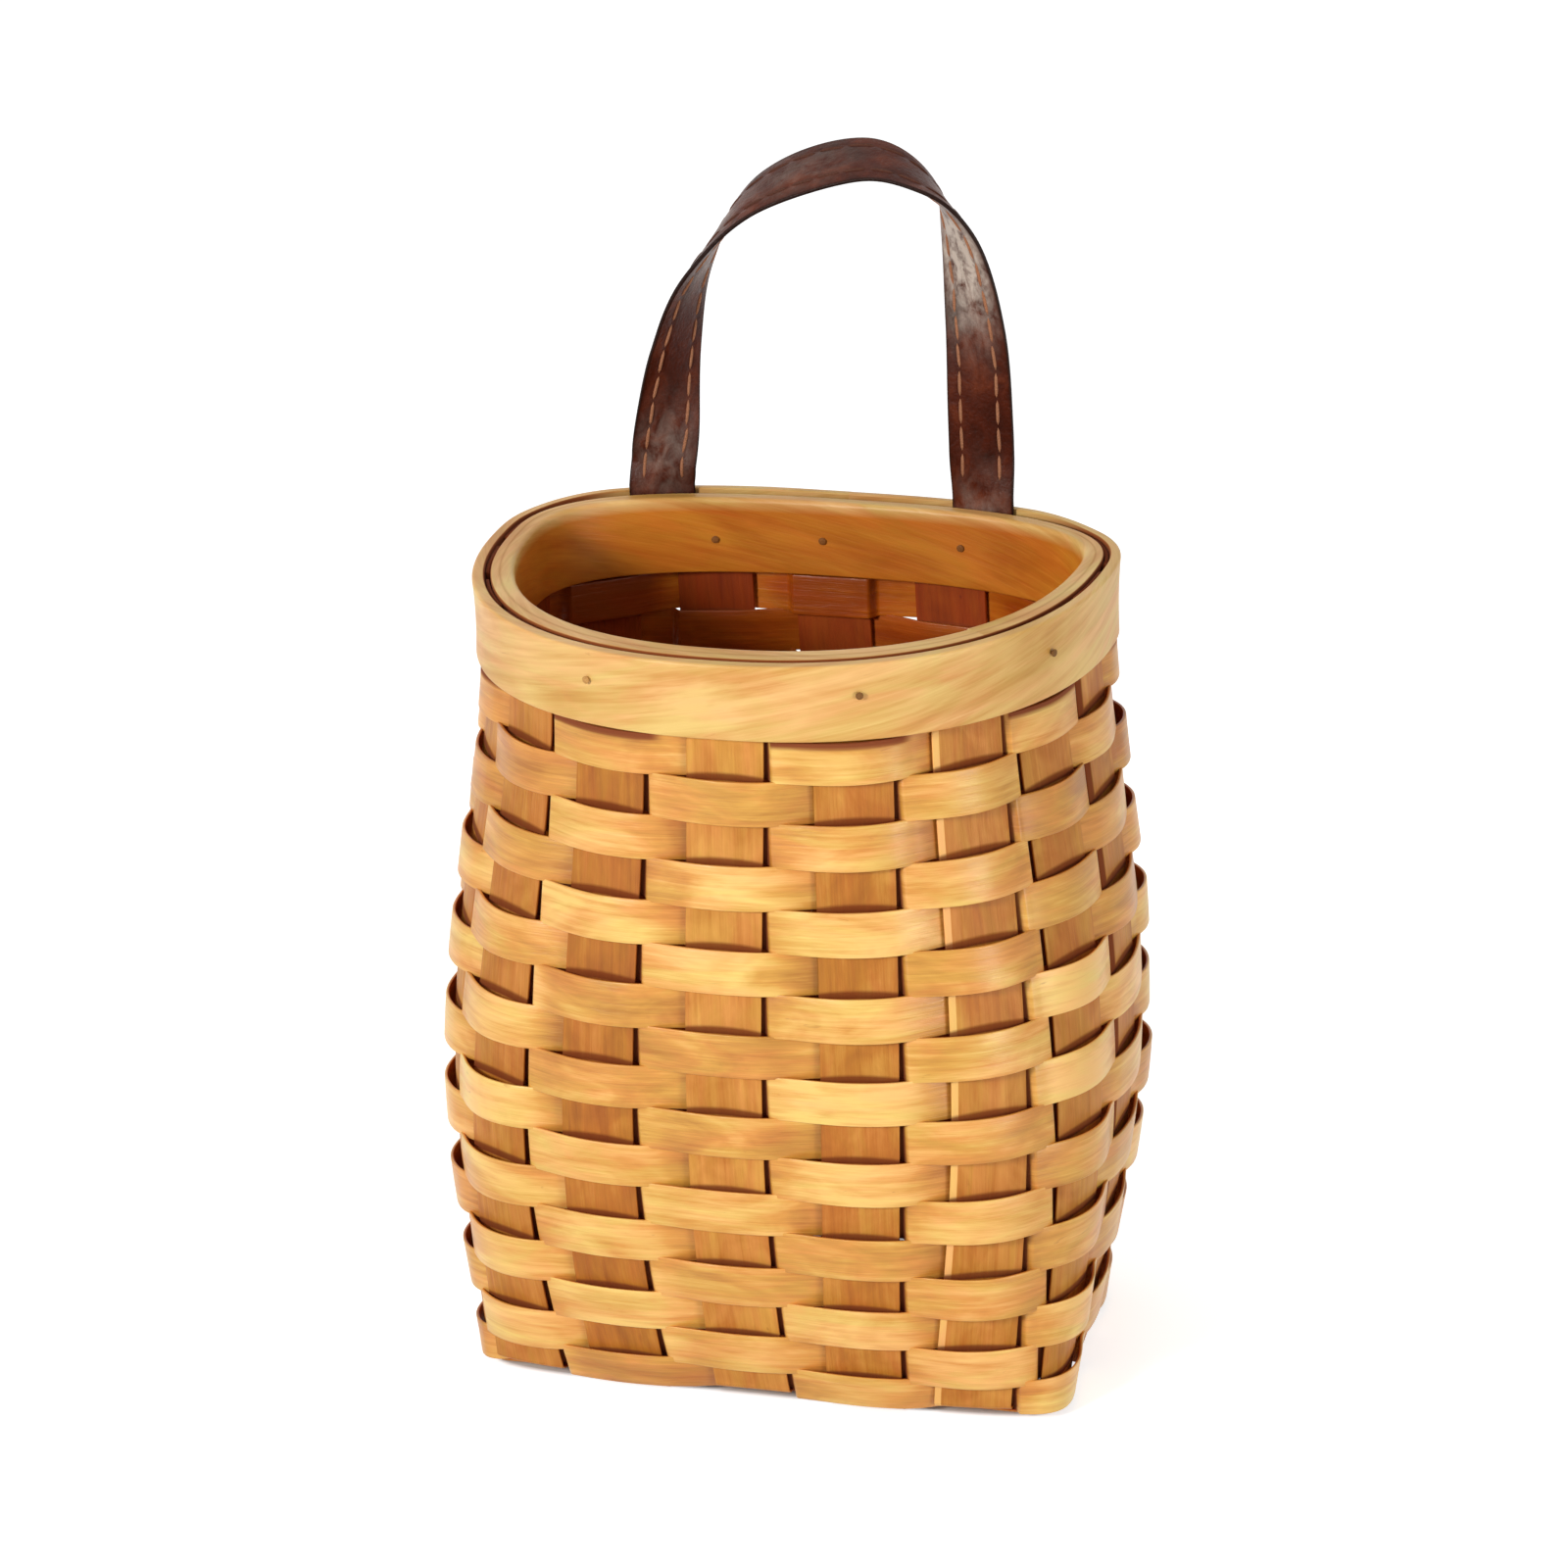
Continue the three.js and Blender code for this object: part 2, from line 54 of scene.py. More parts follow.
body = {
    "halfWidth": 104.8, "reach": 149.0, "rimHeight": 253.4,
    "widthShares": (0.883, 0.966, 1, 0.94, 0.9065),
    "frontShares": (0.842, 0.97, 1, 0.973, 0.9765),
    "widestShares": (0.752, 0.443, 0.3255),
    "backShares": (0.0067, 0, 0),
    "frontPowers": (3.9, 2.7, 2.22),
    "backPowers": (5.4, 2.75, 2.65),
    "baseTaper": 0.106, "taperShare": 0.395, "taperPower": 1.5,
}

# Each strip has two walls, each with its place round the body at the base, mid height and rim.
longStripShares = (
    ((0.862, 0.868, 0.8728), (0.62, 0.637, 0.648)),
    ((0.924, 0.932, 0.9374), (0.56, 0.572, 0.581)),
    ((-0.004, 0.0005, 0.008), (0.502, 0.505, 0.512)),
    ((0.0615, 0.071, 0.079), (0.445, 0.438, 0.438)),
    ((0.122, 0.137, 0.145), (0.385, 0.372, 0.367)),
)
crossStripShares = (
    ((0.18, 0.196, 0.199), (0.815, 0.808, 0.818)),
    ((0.253, 0.2535, 0.258), (0.747, 0.752, 0.763)),
    ((0.325, 0.314, 0.313), (0.68, 0.695, 0.705)),
)


def through(values, u):
    # the sum of each value times the product of (u n - j) / (i - j) over the other places j
    last = len(values) - 1
    u = np.asarray(u, float)
    total = np.zeros_like(u)
    for i, value in enumerate(values):
        weight = np.ones_like(u)
        for j in range(last + 1):
            if j != i:
                weight = weight * (u * last - j) / (i - j)
        total = total + value * weight
    return total


def along(values, u):
    # Catmull-Rom through evenly spaced values, with the end values mirrored outwards
    values = np.asarray(values, float)
    padded = np.concatenate([[2 * values[0] - values[1]], values, [2 * values[-1] - values[-2]]])
    last = len(values) - 1
    i = np.minimum(np.floor(np.asarray(u) * last).astype(int), last - 1)
    t = np.asarray(u) * last - i
    slopeIn = (padded[i + 2] - padded[i]) / 2
    slopeOut = (padded[i + 3] - padded[i + 1]) / 2
    rise = padded[i + 2] - padded[i + 1]
    bend = 3 * rise - 2 * slopeIn - slopeOut
    twist = slopeIn + slopeOut - 2 * rise
    return padded[i + 1] + t * (slopeIn + t * (bend + t * twist))


def smooth(t):
    # 3 t^2 - 2 t^3 between 0 and 1
    t = np.clip(t, 0, 1)
    return t * t * (3 - 2 * t)


def easing(value, start, end):
    # 0 at start and 1 at end, smooth in between
    return smooth((value - start) / (end - start))


def signedPower(value, power):
    # |value|^power with the sign of the value
    return np.sign(value) * np.abs(value) ** power


def unit(v):
    # v / |v|
    return v / np.linalg.norm(v, axis=-1, keepdims=True)


wallGrid = {
    "top": 257.0, "levels": 258, "quarterSteps": 240, "easing": 2.5, "places": 1440,
    "normalSpan": 5,
}


def wallTable():
    # at height z: x = w |cos|^p (1 - narrowing) and y = widest + run |sin|^p, with the signs of
    # cos and sin, then spread evenly by running length
    heights = np.linspace(0, wallGrid["top"], wallGrid["levels"])
    u = (np.minimum(heights, body["rimHeight"]) / body["rimHeight"])[:, None]
    v = np.linspace(0, 1, wallGrid["quarterSteps"], endpoint=False)
    eased = v ** wallGrid["easing"] / (v ** wallGrid["easing"] + (1 - v) ** wallGrid["easing"])
    quarter = np.repeat(np.arange(4), len(v))
    angle = (quarter + np.tile(eased, 4) - 1) * math.pi / 2
    inFront = (quarter == 0) | (quarter == 3)
    power = 2 / np.where(inFront, through(body["frontPowers"], u), through(body["backPowers"], u))
    depth = signedPower(np.sin(angle), power)
    width = body["halfWidth"] * through(body["widthShares"], u)
    front = -body["reach"] * through(body["frontShares"], u)
    widest = -body["reach"] * through(body["widestShares"], u)
    back = -body["reach"] * through(body["backShares"], u)
    narrowing = body["baseTaper"] * np.clip(1 - u / body["taperShare"], 0, None) ** body["taperPower"]
    x = width * signedPower(np.cos(angle), power) * (1 - narrowing * np.clip(depth, 0, None))
    y = widest + np.where(inFront, widest - front, back - widest) * depth
    x = np.concatenate([x, x[:, :1]], axis=1)
    y = np.concatenate([y, y[:, :1]], axis=1)
    length = np.cumsum(np.hypot(np.diff(x), np.diff(y)), axis=1)
    length = np.concatenate([np.zeros((len(heights), 1)), length], axis=1)
    share = np.linspace(0, 1, wallGrid["places"], endpoint=False)
    evenX = np.array([np.interp(share * l[-1], l, row) for l, row in zip(length, x)])
    evenY = np.array([np.interp(share * l[-1], l, row) for l, row in zip(length, y)])
    span = wallGrid["normalSpan"]
    dx = np.roll(evenX, -span, axis=1) - np.roll(evenX, span, axis=1)
    dy = np.roll(evenY, -span, axis=1) - np.roll(evenY, span, axis=1)
    size = np.hypot(dx, dy)
    return np.stack([evenX, evenY, dy / size, -dx / size], axis=-1), length[:, -1]


wallPlaces, wallLengths = wallTable()


def wallSample(height, share):
    # bilinear mean of the four nearest table entries: x, y and the outward normal
    last = wallGrid["levels"] - 1
    row = np.clip(height / wallGrid["top"] * last, 0, last - 0.001)  # just short of the last level
    column = np.mod(share, 1) * wallGrid["places"]
    r, c = np.floor(row).astype(int), np.floor(column).astype(int) % wallGrid["places"]
    nextColumn = (c + 1) % wallGrid["places"]
    fr, fc = (row - r)[..., None], (column - np.floor(column))[..., None]
    low = wallPlaces[r, c] * (1 - fc) + wallPlaces[r, nextColumn] * fc
    high = wallPlaces[r + 1, c] * (1 - fc) + wallPlaces[r + 1, nextColumn] * fc
    return low * (1 - fr) + high * fr


def wallAt(height, share, offset):
    # the wall's middle surface at a height and a share of the way round, moved out by offset
    height, share, offset = np.broadcast_arrays(height, share, offset)
    place = wallSample(height, share)
    moved = place[..., :2] + unit(place[..., 2:]) * offset[..., None]
    return np.concatenate([moved, height[..., None]], axis=-1)


def wallLength(height):
    # the wall's whole length round at a height, read between the table's levels
    return np.interp(height, np.linspace(0, wallGrid["top"], wallGrid["levels"]), wallLengths)


def stakeShare(places, height):
    # the share round the body at a height, through the places at base, mid height and rim
    return through(places, np.asarray(height, float) / body["rimHeight"])


splint = {
    "thickness": 1.0, "stakeWidth": 24.0, "rows": 17,
    "bendHeight": 4.9, "bendReach": 4.5,  # the stakes' bend into the base
    "crossingGap": 0.3, "crossingMargin": 2.0,
    "insideFrom": 0.1, "insideBlend": 0.3,
}
hoop = {
    "depth": 24.6, "lift": 0.8, "clearance": 0.45, "stakeSetBack": 1.0,
    "innerSide": 6.9, "innerSwell": 2.1, "outerSide": 3.6, "outerSwell": 0.7,
    "wallSeatDepth": 0.7,  # the flat of the outer hoop's back
    "bulgeShares": (0.34, 0.392, 0.634, 0.686),
}
strap = {
    "width": 20.8, "thickness": 2.6, "rise": 109.2, "hold": 22.0,
    "clearance": 0.3, "topStand": 0.5,
    "shares": (0.6075, 0.4184),
}
rimHeight = body["rimHeight"]
weaveTop = rimHeight - hoop["depth"] - hoop["lift"]
rowPitch = weaveTop / splint["rows"]
halfStake = splint["stakeWidth"] / 2
halfSplint = splint["thickness"] / 2
bendHeight = splint["bendHeight"]
underLevel = halfSplint
crossLevel = underLevel + splint["thickness"] + splint["crossingGap"]
overLevel = crossLevel + splint["thickness"] + splint["crossingGap"]
allWalls = [wall for strip in longStripShares + crossStripShares for wall in strip]
stakeRing = sorted(allWalls, key=lambda wall: wall[0])
stakeHolds = halfSplint + hoop["clearance"]
halfStrap = strap["thickness"] / 2
strapMiddle = halfSplint + strap["clearance"] + halfStrap
strapBulge = strapMiddle + halfStrap + strap["clearance"]


def innerHoopAt(share):
    # thickness = side + swell cos(2 pi share)
    return hoop["innerSide"] + hoop["innerSwell"] * np.cos(2 * math.pi * share)


def outerHoopAt(share):
    # thickness = side + swell cos(2 pi share)
    return hoop["outerSide"] + hoop["outerSwell"] * np.cos(2 * math.pi * share)


def bulgeAt(share):
    # how far the outer hoop stands off the wall: the stakes alone, or the strap ends across the back
    share = np.mod(share, 1)
    rise = easing(share, *hoop["bulgeShares"][:2])
    fall = easing(share, *hoop["bulgeShares"][2:])
    return stakeHolds + (strapBulge - stakeHolds) * (rise - fall)


wallSeat = wallAt(rimHeight, 0.5, strapBulge + outerHoopAt(0.5))[1] - hoop["wallSeatDepth"]

# the hinge line of the loop, and the shift from these millimetres to the frame
hingeHeight = rimHeight + strap["topStand"] + strap["clearance"] + halfStrap
legStart, legEnd = [wallAt(rimHeight, share, strapMiddle) for share in strap["shares"]]
legStart[2] = legEnd[2] = hingeHeight
hingeMiddle = (legStart + legEnd) / 2
hingeAxis = (legEnd - legStart) / np.linalg.norm(legEnd - legStart)
up = np.array([0.0, 0.0, 1.0])
hingeBack = np.cross(up, hingeAxis)
halfSpan = np.linalg.norm(legEnd - legStart) / 2
shift = np.array(frame["joints"][0]["pos_m"]) / metre - hingeMiddle


def toFrame(points):
    # (point + shift) in metres
    return (points + shift) * metre


def newObject(name, data):
    # an object that holds the data, in the scene's own collection
    thing = bpy.data.objects.new(name, data)
    bpy.context.scene.collection.objects.link(thing)
    return thing


def flat(values):
    # one long row of single precision numbers, as foreach_set takes it
    return np.asarray(values, np.float32).ravel()


def closedMesh(name, points, uv=None, closedAlong=False, attributes=None):
    # joins the grid point (i, j) to (i + 1, j), (i + 1, j + 1) and (i, j + 1), with j going round.
    # The first and last loops are capped unless i goes round too. Faces are flipped where the
    # volume, the sum of a . (b x c) + a . (c x d), comes out negative
    count, around = points.shape[:2]
    rows = np.arange(count if closedAlong else count - 1)[:, None]
    columns = np.arange(around)[None, :]

    def corners(nextRow, nextColumn, width):
        # the four corners of each face, as places in a grid of that width
        pairs = ((rows, columns), (nextRow, columns), (nextRow, nextColumn), (rows, nextColumn))
        return np.stack([i * width + j for i, j in pairs], axis=-1).reshape(-1, 4)

    quads = corners((rows + 1) % count, (columns + 1) % around, around)
    a, b, c, d = [points.reshape(-1, 3)[quads[:, k]] for k in range(4)]
    volume = np.einsum("ij,ij->", a, np.cross(b, c)) + np.einsum("ij,ij->", a, np.cross(c, d))
    if volume < 0:
        quads = quads[:, ::-1]
    loops = [quads.ravel()]
    totals = [np.full(len(quads), 4)]
    if not closedAlong:
        first, last = np.arange(around), np.arange(around) + (count - 1) * around
        loops += [first, last[::-1]] if volume > 0 else [first[::-1], last]
        totals.append(np.full(2, around))
    loops, totals = np.concatenate(loops), np.concatenate(totals)
    mesh = bpy.data.meshes.new(name)
    mesh.vertices.add(count * around)
    mesh.vertices.foreach_set("co", flat(toFrame(points)))
    mesh.loops.add(len(loops))
    mesh.loops.foreach_set("vertex_index", loops.astype(np.int32))
    mesh.polygons.add(len(totals))
    starts = np.concatenate([[0], np.cumsum(totals)[:-1]])
    mesh.polygons.foreach_set("loop_start", starts.astype(np.int32))
    mesh.update(calc_edges=True)
    mesh.polygons.foreach_set("use_smooth", np.ones(len(totals), bool))
    if uv is not None:
        # uv holds one more column than the loop, and one more row where i goes round
        faceUv = uv.reshape(-1, 2)[corners(rows + 1, columns + 1, around + 1)]
        if volume < 0:
            faceUv = faceUv[:, ::-1]
        capUv = np.zeros((len(loops) - faceUv.size // 2, 2)) + uv[0, 0]
        layer = mesh.uv_layers.new(name="splintMap")
        layer.data.foreach_set("uv", flat(np.concatenate([faceUv.reshape(-1, 2), capUv])))
    for label, values in (attributes or {}).items():
        layer = mesh.attributes.new(label, "FLOAT", "POINT")
        layer.data.foreach_set("value", flat(np.broadcast_to(values, points.shape[:2])))
    mesh.validate()
    return newObject(name, mesh)


def roundedLoop(halfDepth, halfThickness, rounding, faceSteps=4, cornerSteps=3):
    # a rounded rectangle as (depth, offset) pairs: straight faces joined by quarter circles
    corner = np.linspace(0, math.pi / 2, cornerSteps + 1)
    arcs = []
    for turn, (sx, sy) in enumerate([(1, 1), (-1, 1), (-1, -1), (1, -1)]):
        angle = corner + turn * math.pi / 2
        depth = sx * (halfDepth - rounding) + rounding * np.cos(angle)
        offset = sy * (halfThickness - rounding) + rounding * np.sin(angle)
        arcs.append(np.stack([depth, offset], -1))
    faces = np.linspace(arcs[0][-1], arcs[1][0], faceSteps + 1)[1:-1]
    back = np.linspace(arcs[2][-1], arcs[3][0], faceSteps + 1)[1:-1]
    return np.concatenate([arcs[0], faces, arcs[1], arcs[2], back, arcs[3]])


def runningLength(points):
    # 0 and then the running sum of the steps between points
    return np.concatenate([[0], np.cumsum(np.linalg.norm(np.diff(points, axis=0), axis=1))])


def loopDistance(loop):
    # running length round a closed outline in metres, with the closing step at the end
    return runningLength(np.concatenate([loop, loop[:1]])) * metre


def gridMap(along, across):
    # one pair of map coordinates for each place along and each place across
    return np.stack(np.broadcast_arrays(along[:, None], across[None, :]), axis=-1)


def insideOf(loop):
    # 1 on the inner face of a splint's outline, 0 on the outer one, smooth between
    return smooth((splint["insideFrom"] - loop[None, :, 1]) / splint["insideBlend"])


def wander(count, knots, size):
    # seeded values at evenly spread knots round a ring, joined smoothly
    values = chance.uniform(-size, size, knots)
    place = np.linspace(0, knots, count, endpoint=False)
    i = np.floor(place).astype(int)
    t = smooth(place - i)
    return values[i % knots] * (1 - t) + values[(i + 1) % knots] * t


# Materials

def feed(tree, node, sockets):
    # links or sets each named or numbered socket of a node
    for key, value in sockets.items():
        socket = node.inputs[key]
        if isinstance(value, bpy.types.NodeSocket):
            tree.links.new(value, socket)
        else:
            socket.default_value = (*value, 1) if socket.type == "RGBA" else value


def newNode(tree, kind, sockets, **settings):
    # a shader node with its settings, and with its sockets linked or set
    node = tree.nodes.new("ShaderNode" + kind)
    for name, value in settings.items():
        setattr(node, name, value)
    feed(tree, node, sockets)
    return node


def newMaterial(name):
    # a material with its node tree and its surface shader
    material = bpy.data.materials.new(name)
    material.use_nodes = True
    return material, material.node_tree, material.node_tree.nodes["Principled BSDF"]


def colourRamp(tree, source, stops):
    # colours by level, each stop being a level and its colour
    ramp = newNode(tree, "ValToRGB", {0: source})
    elements = ramp.color_ramp.elements
    elements[0].position, elements[0].color = stops[0][0], (*stops[0][1], 1)
    elements[1].position, elements[1].color = stops[-1][0], (*stops[-1][1], 1)
    for position, colour in stops[1:-1]:
        elements.new(position).color = (*colour, 1)
    return ramp.outputs[0]


def noise(tree, vector, scale, detail, roughness, distortion=0.0):
    # soft cloudy levels between 0 and 1
    sockets = {"Vector": vector, "Scale": scale, "Detail": detail, "Roughness": roughness}
    return newNode(tree, "TexNoise", {**sockets, "Distortion": distortion}).outputs["Fac"]


def mathNode(tree, operation, *values):
    # the operation on its values; MULTIPLY_ADD gives the first x the second + the third
    return newNode(tree, "Math", dict(enumerate(values)), operation=operation).outputs[0]


def mixColour(tree, kind, factor, a, b):
    # sockets 6 and 7 are the node's two colours, and output 2 is the mixed one
    return newNode(tree, "Mix", {0: factor, 6: a, 7: b}, data_type="RGBA", blend_type=kind).outputs[2]


def mapping(tree, source, along, across, rotation=0.0):
    # map coordinates scaled along and across, then turned
    sockets = {"Vector": source, "Scale": (along, across, 1), "Rotation": (0, 0, rotation)}
    return newNode(tree, "Mapping", sockets).outputs[0]


def figure(tree, source, scales, detail, roughness, distortion=0.0):
    # noise stretched by a scale along the piece and one across it
    return noise(tree, mapping(tree, source, *scales[:2]), 1.0, detail, roughness, distortion)


def attribute(tree, name):
    # a level that closedMesh or the floor stored at each point
    return newNode(tree, "Attribute", {}, attribute_name=name).outputs["Fac"]


def uvCoordinates(tree):
    # metres along and across the piece, from gridMap
    return newNode(tree, "UVMap", {}, uv_map="splintMap").outputs[0]


def finishShader(tree, shader, colour, rough, look, height):
    # colour, roughness, gloss and a relief of the look's depth
    relief = newNode(tree, "Bump", {"Height": height, "Distance": look["relief"]}).outputs[0]
    sockets = {"Base Color": colour, "Roughness": rough, "Specular IOR Level": look["gloss"]}
    feed(tree, shader, {**sockets, "Normal": relief})


# the painted shade on a stake, by half the weave phase: the stake shows from 0 to 0.5
crescentStops = (
    (0.0, 0.4), (0.03, 0.0), (0.41, 0.0), (0.445, 0.85),
    (0.51, 0.95), (0.53, 0.0), (0.98, 0.0), (1.0, 0.4),
)


def crescentShade(tree):
    # painted shade where a row crosses the stake: a dark line at the foot of each place that
    # shows, and a fainter one at its head
    half = mathNode(tree, "MULTIPLY", attribute(tree, "weavePhase"), 0.5)
    turns = mathNode(tree, "FRACT", half, 0.0)
    return colourRamp(tree, turns, [(place, (shade,) * 3) for place, shade in crescentStops])


# each layer's detail, roughness and distortion
woodLayers = {
    "grain": (4, 0.6, 0.6), "fibre": (2, 0.7, 0.0), "patch": (3, 0.5, 0.8),
    "fleck": (3, 0.6, 1.2), "hue": (3, 0.6, 0.9),
}


def woodMaterial(name, look):
    # level = tone + the sum of share x noise over grain, fibre and patch, read through the
    # colours, with flecks, a drift of hue, painted shade on the inner faces and painted shade, with
    # joint lines, over it
    material, tree, shader = newMaterial(name)
    uv = mapping(tree, uvCoordinates(tree), 1, 1, look["figureTurn"])
    layers = {kind: figure(tree, uv, look[kind], *settings) for kind, settings in woodLayers.items()}
    level = attribute(tree, "tone")
    for kind in ("grain", "fibre", "patch"):
        level = mathNode(tree, "MULTIPLY_ADD", layers[kind], look[kind][2], level)
    colour = colourRamp(tree, level, look["colours"])
    fleckStart, fleckFull = look["fleckStops"]
    fleck = colourRamp(tree, layers["fleck"], ((fleckStart, (0, 0, 0)), (fleckFull, (1, 1, 1))))
    fleck = mathNode(tree, "MULTIPLY", fleck, look["fleck"][2])
    colour = mixColour(tree, "MIX", fleck, colour, look["fleckColour"])
    strawEnd, blushStart = look["hueStops"]
    hue = colourRamp(tree, layers["hue"], ((strawEnd, look["straw"]), (blushStart, look["blush"])))
    colour = mixColour(tree, "MULTIPLY", 1.0, colour, hue)
    # painted shade: the inner faces darker, as the inside of the basket
    shadedInside = mixColour(tree, "MULTIPLY", 1.0, colour, look["insideShade"])
    colour = mixColour(tree, "MIX", attribute(tree, "inside"), colour, shadedInside)
    # painted shade in crevices, slits, gaps and under the hoops, with the hoop's joint lines; on stakes
    # also painted shade where rows cross
    paintedShadeAndJoints = attribute(tree, "paintedShadeAndJoints")
    if look["crescents"]:
        paintedShadeAndJoints = mathNode(tree, "MAXIMUM", paintedShadeAndJoints, crescentShade(tree))
    colour = mixColour(tree, "MIX", paintedShadeAndJoints, colour, look["shadeAndJointColour"])
    rough = mathNode(tree, "MULTIPLY_ADD", paintedShadeAndJoints, look["shadeAndJointRoughness"], look["roughness"])
    rough = mathNode(tree, "MULTIPLY_ADD", layers["fibre"], look["fibreRoughness"], rough)
    height = mathNode(tree, "MULTIPLY_ADD", layers["fibre"], look["fibreRelief"], layers["grain"])
    finishShader(tree, shader, colour, rough, look, height)
    return material


# each layer of a wood has its scale along the splint, its scale across, and its share
anyWood = {
    "hue": (26, 95), "hueStops": (0.38, 0.62), "fleckStops": (0.70, 0.78),
    "figureTurn": 0.0, "crescents": False,
    "shadeAndJointRoughness": 0.5, "fibreRoughness": 0.08, "fibreRelief": 0.5,
}
weaverLook = {
    **anyWood,
    "grain": (24, 480, 0.42), "fibre": (90, 2600, 0.22),
    "patch": (34, 85, 0.6), "fleck": (70, 330, 0.55),
    "colours": (
        (0.32, (0.45, 0.17, 0.025)),
        (0.55, (0.69, 0.335, 0.067)),
        (0.78, (0.90, 0.595, 0.195)),
    ),
    "fleckColour": (0.36, 0.12, 0.02),
    "straw": (0.93, 0.97, 0.80), "blush": (1.0, 0.86, 0.84),
    "insideShade": (0.76, 0.36, 0.10), "shadeAndJointColour": (0.20, 0.042, 0.006),
    "roughness": 0.31, "gloss": 0.45, "relief": 0.00015,
}
stakeLook = {
    **anyWood,
    "grain": (20, 420, 0.4), "fibre": (80, 1800, 0.16),
    "patch": (55, 75, 0.55), "fleck": (50, 260, 0.5),
    "colours": (
        (0.28, (0.29, 0.088, 0.010)),
        (0.53, (0.46, 0.168, 0.022)),
        (0.82, (0.67, 0.325, 0.072)),
        (1.0, (0.84, 0.49, 0.17)),
    ),
    "fleckColour": (0.22, 0.06, 0.015),
    "straw": (0.97, 1.0, 0.80), "blush": (1.0, 0.88, 0.86),
    "insideShade": (0.68, 0.27, 0.085), "shadeAndJointColour": (0.17, 0.030, 0.004),
    "figureTurn": 0.03, "crescents": True,
    "roughness": 0.48, "gloss": 0.3, "relief": 0.00018,
}
hoopLook = {
    **anyWood,
    "grain": (20, 380, 0.46), "fibre": (60, 1500, 0.16),
    "patch": (22, 75, 0.66), "fleck": (80, 420, 0.5),
    "colours": (
        (0.32, (0.466, 0.19, 0.035)),
        (0.55, (0.64, 0.328, 0.086)),
        (0.8, (0.815, 0.537, 0.202)),
    ),
    "fleckColour": (0.42, 0.16, 0.035),
    "straw": (0.92, 0.96, 0.82), "blush": (1.0, 0.90, 0.90),
    "insideShade": (0.80, 0.42, 0.10), "shadeAndJointColour": (0.25, 0.058, 0.010),
    "figureTurn": 0.22,
    "roughness": 0.38, "gloss": 0.36, "relief": 0.00012,
}
weaverWood = woodMaterial("honeySplint", weaverLook)
stakeWood = woodMaterial("rosySplint", stakeLook)
hoopWood = woodMaterial("bentHoopWood", hoopLook)


def setMaterial(piece, material):
    # the piece's only material
    piece.data.materials.clear()
    piece.data.materials.append(material)


# Weavers: seventeen rings

weaver = {
    # how a row passes over and behind the stakes
    "outside": 1.4, "inside": 2.2, "valley": 0.3, "climb": 2.6, "shoulder": 1.1,
    "sinkBefore": 2.0, "sinkBehind": 7.0, "steepInFrom": 0.15, "steepOutTo": 0.18,
    # how far it bulges there
    "crown": 1.3, "cornerCrown": 2.9, "crownSpread": (0.7, 1.3), "crownPower": 1.3,
    "insideCrown": 0.4, "insideCorner": 2.2, "calm": 0.2, "footCalm": 45.0, "footShare": 0.2,
    # its height, overlap with its neighbours, and lean
    "overlap": 0.32, "lowOverlap": 0.35, "lowRows": (9, 13), "topGap": 0.5, "footOverlap": 1.3,
    "riseAndFall": 0.14, "riseKnots": 24, "lean": 0.25, "leanKnots": 16,
    "footHeight": 2.2, "footLean": 1.3, "tuckAbove": 3.0, "tuckBlend": 5.0,
    # its outline, and its steps between two stakes
    "rounding": 0.3, "faceSteps": 4, "topFaceSteps": 16,
    "samples": 44, "stepCounts": (0, 7, 19, 25, 37, 44),
    "edgeStep": 1.0, "edgeReach": 5.0, "middleRoom": 0.5,
    # its tones, with painted shade on the top rows and painted light on the crowns, and its painted dark
    # places
    "toneSpread": 0.13, "rowToneSpread": 0.05, "toneFrom": 0.35, "toneBlend": 0.3,
    "topShadeTone": 0.05, "shadedTopRows": (7, 3), "baseTone": -0.05, "crownLightTone": 0.03,
    "paintedShadeBlend": 0.9, "hoopShade": 2.3, "hoopShadeBlend": 0.7,
    "mapShift": (0.731, 0.217),
}


def climbing(x, span):
    # level = -inside + (inside + shoulder) S((x - a) / climb) + (outside - shoulder) S((x - a) / rest)
    # with a just past the edge of the stake that the row comes out from behind, and S smooth
    start = halfStake + weaver["valley"]
    steep = (weaver["inside"] + weaver["shoulder"]) * smooth((x - start) / weaver["climb"])
    rest = smooth((x - start) / (span - halfStake - start))
    return steep + (weaver["outside"] - weaver["shoulder"]) * rest - weaver["inside"]


def sinking(x, span):
    # level = outside - (outside + inside) S((x - a) / b), from over one stake to behind the next
    reach = span - 2 * halfStake + weaver["sinkBefore"] + weaver["sinkBehind"]
    fall = smooth((x - halfStake + weaver["sinkBefore"]) / reach)
    return weaver["outside"] - (weaver["outside"] + weaver["inside"]) * fall


def crossing(sideBefore, x, span, steepOut, steepIn):
    # each row is steep at the edge of a stake that it comes out past, and gentle where it goes in;
    # round the right side the steep end is the other one
    out = np.where(steepOut, climbing(x, span), sinking(span - x, span))
    back = np.where(steepIn, climbing(span - x, span), sinking(x, span))
    return np.where(sideBefore < 0, out, back)


def spacedSteps(span):
    # places along one span, close together at both stakes' edges and wider elsewhere
    near, far = halfStake - weaver["edgeStep"], span - halfStake + weaver["edgeStep"]
    reach = min(weaver["edgeReach"], span / 2 - halfStake - weaver["middleRoom"])
    places = [0, near, halfStake + reach, span - halfStake - reach, far, span]
    counts = np.array(weaver["stepCounts"]) / weaver["samples"]
    return np.interp(np.arange(weaver["samples"]) / weaver["samples"], counts, places) / span


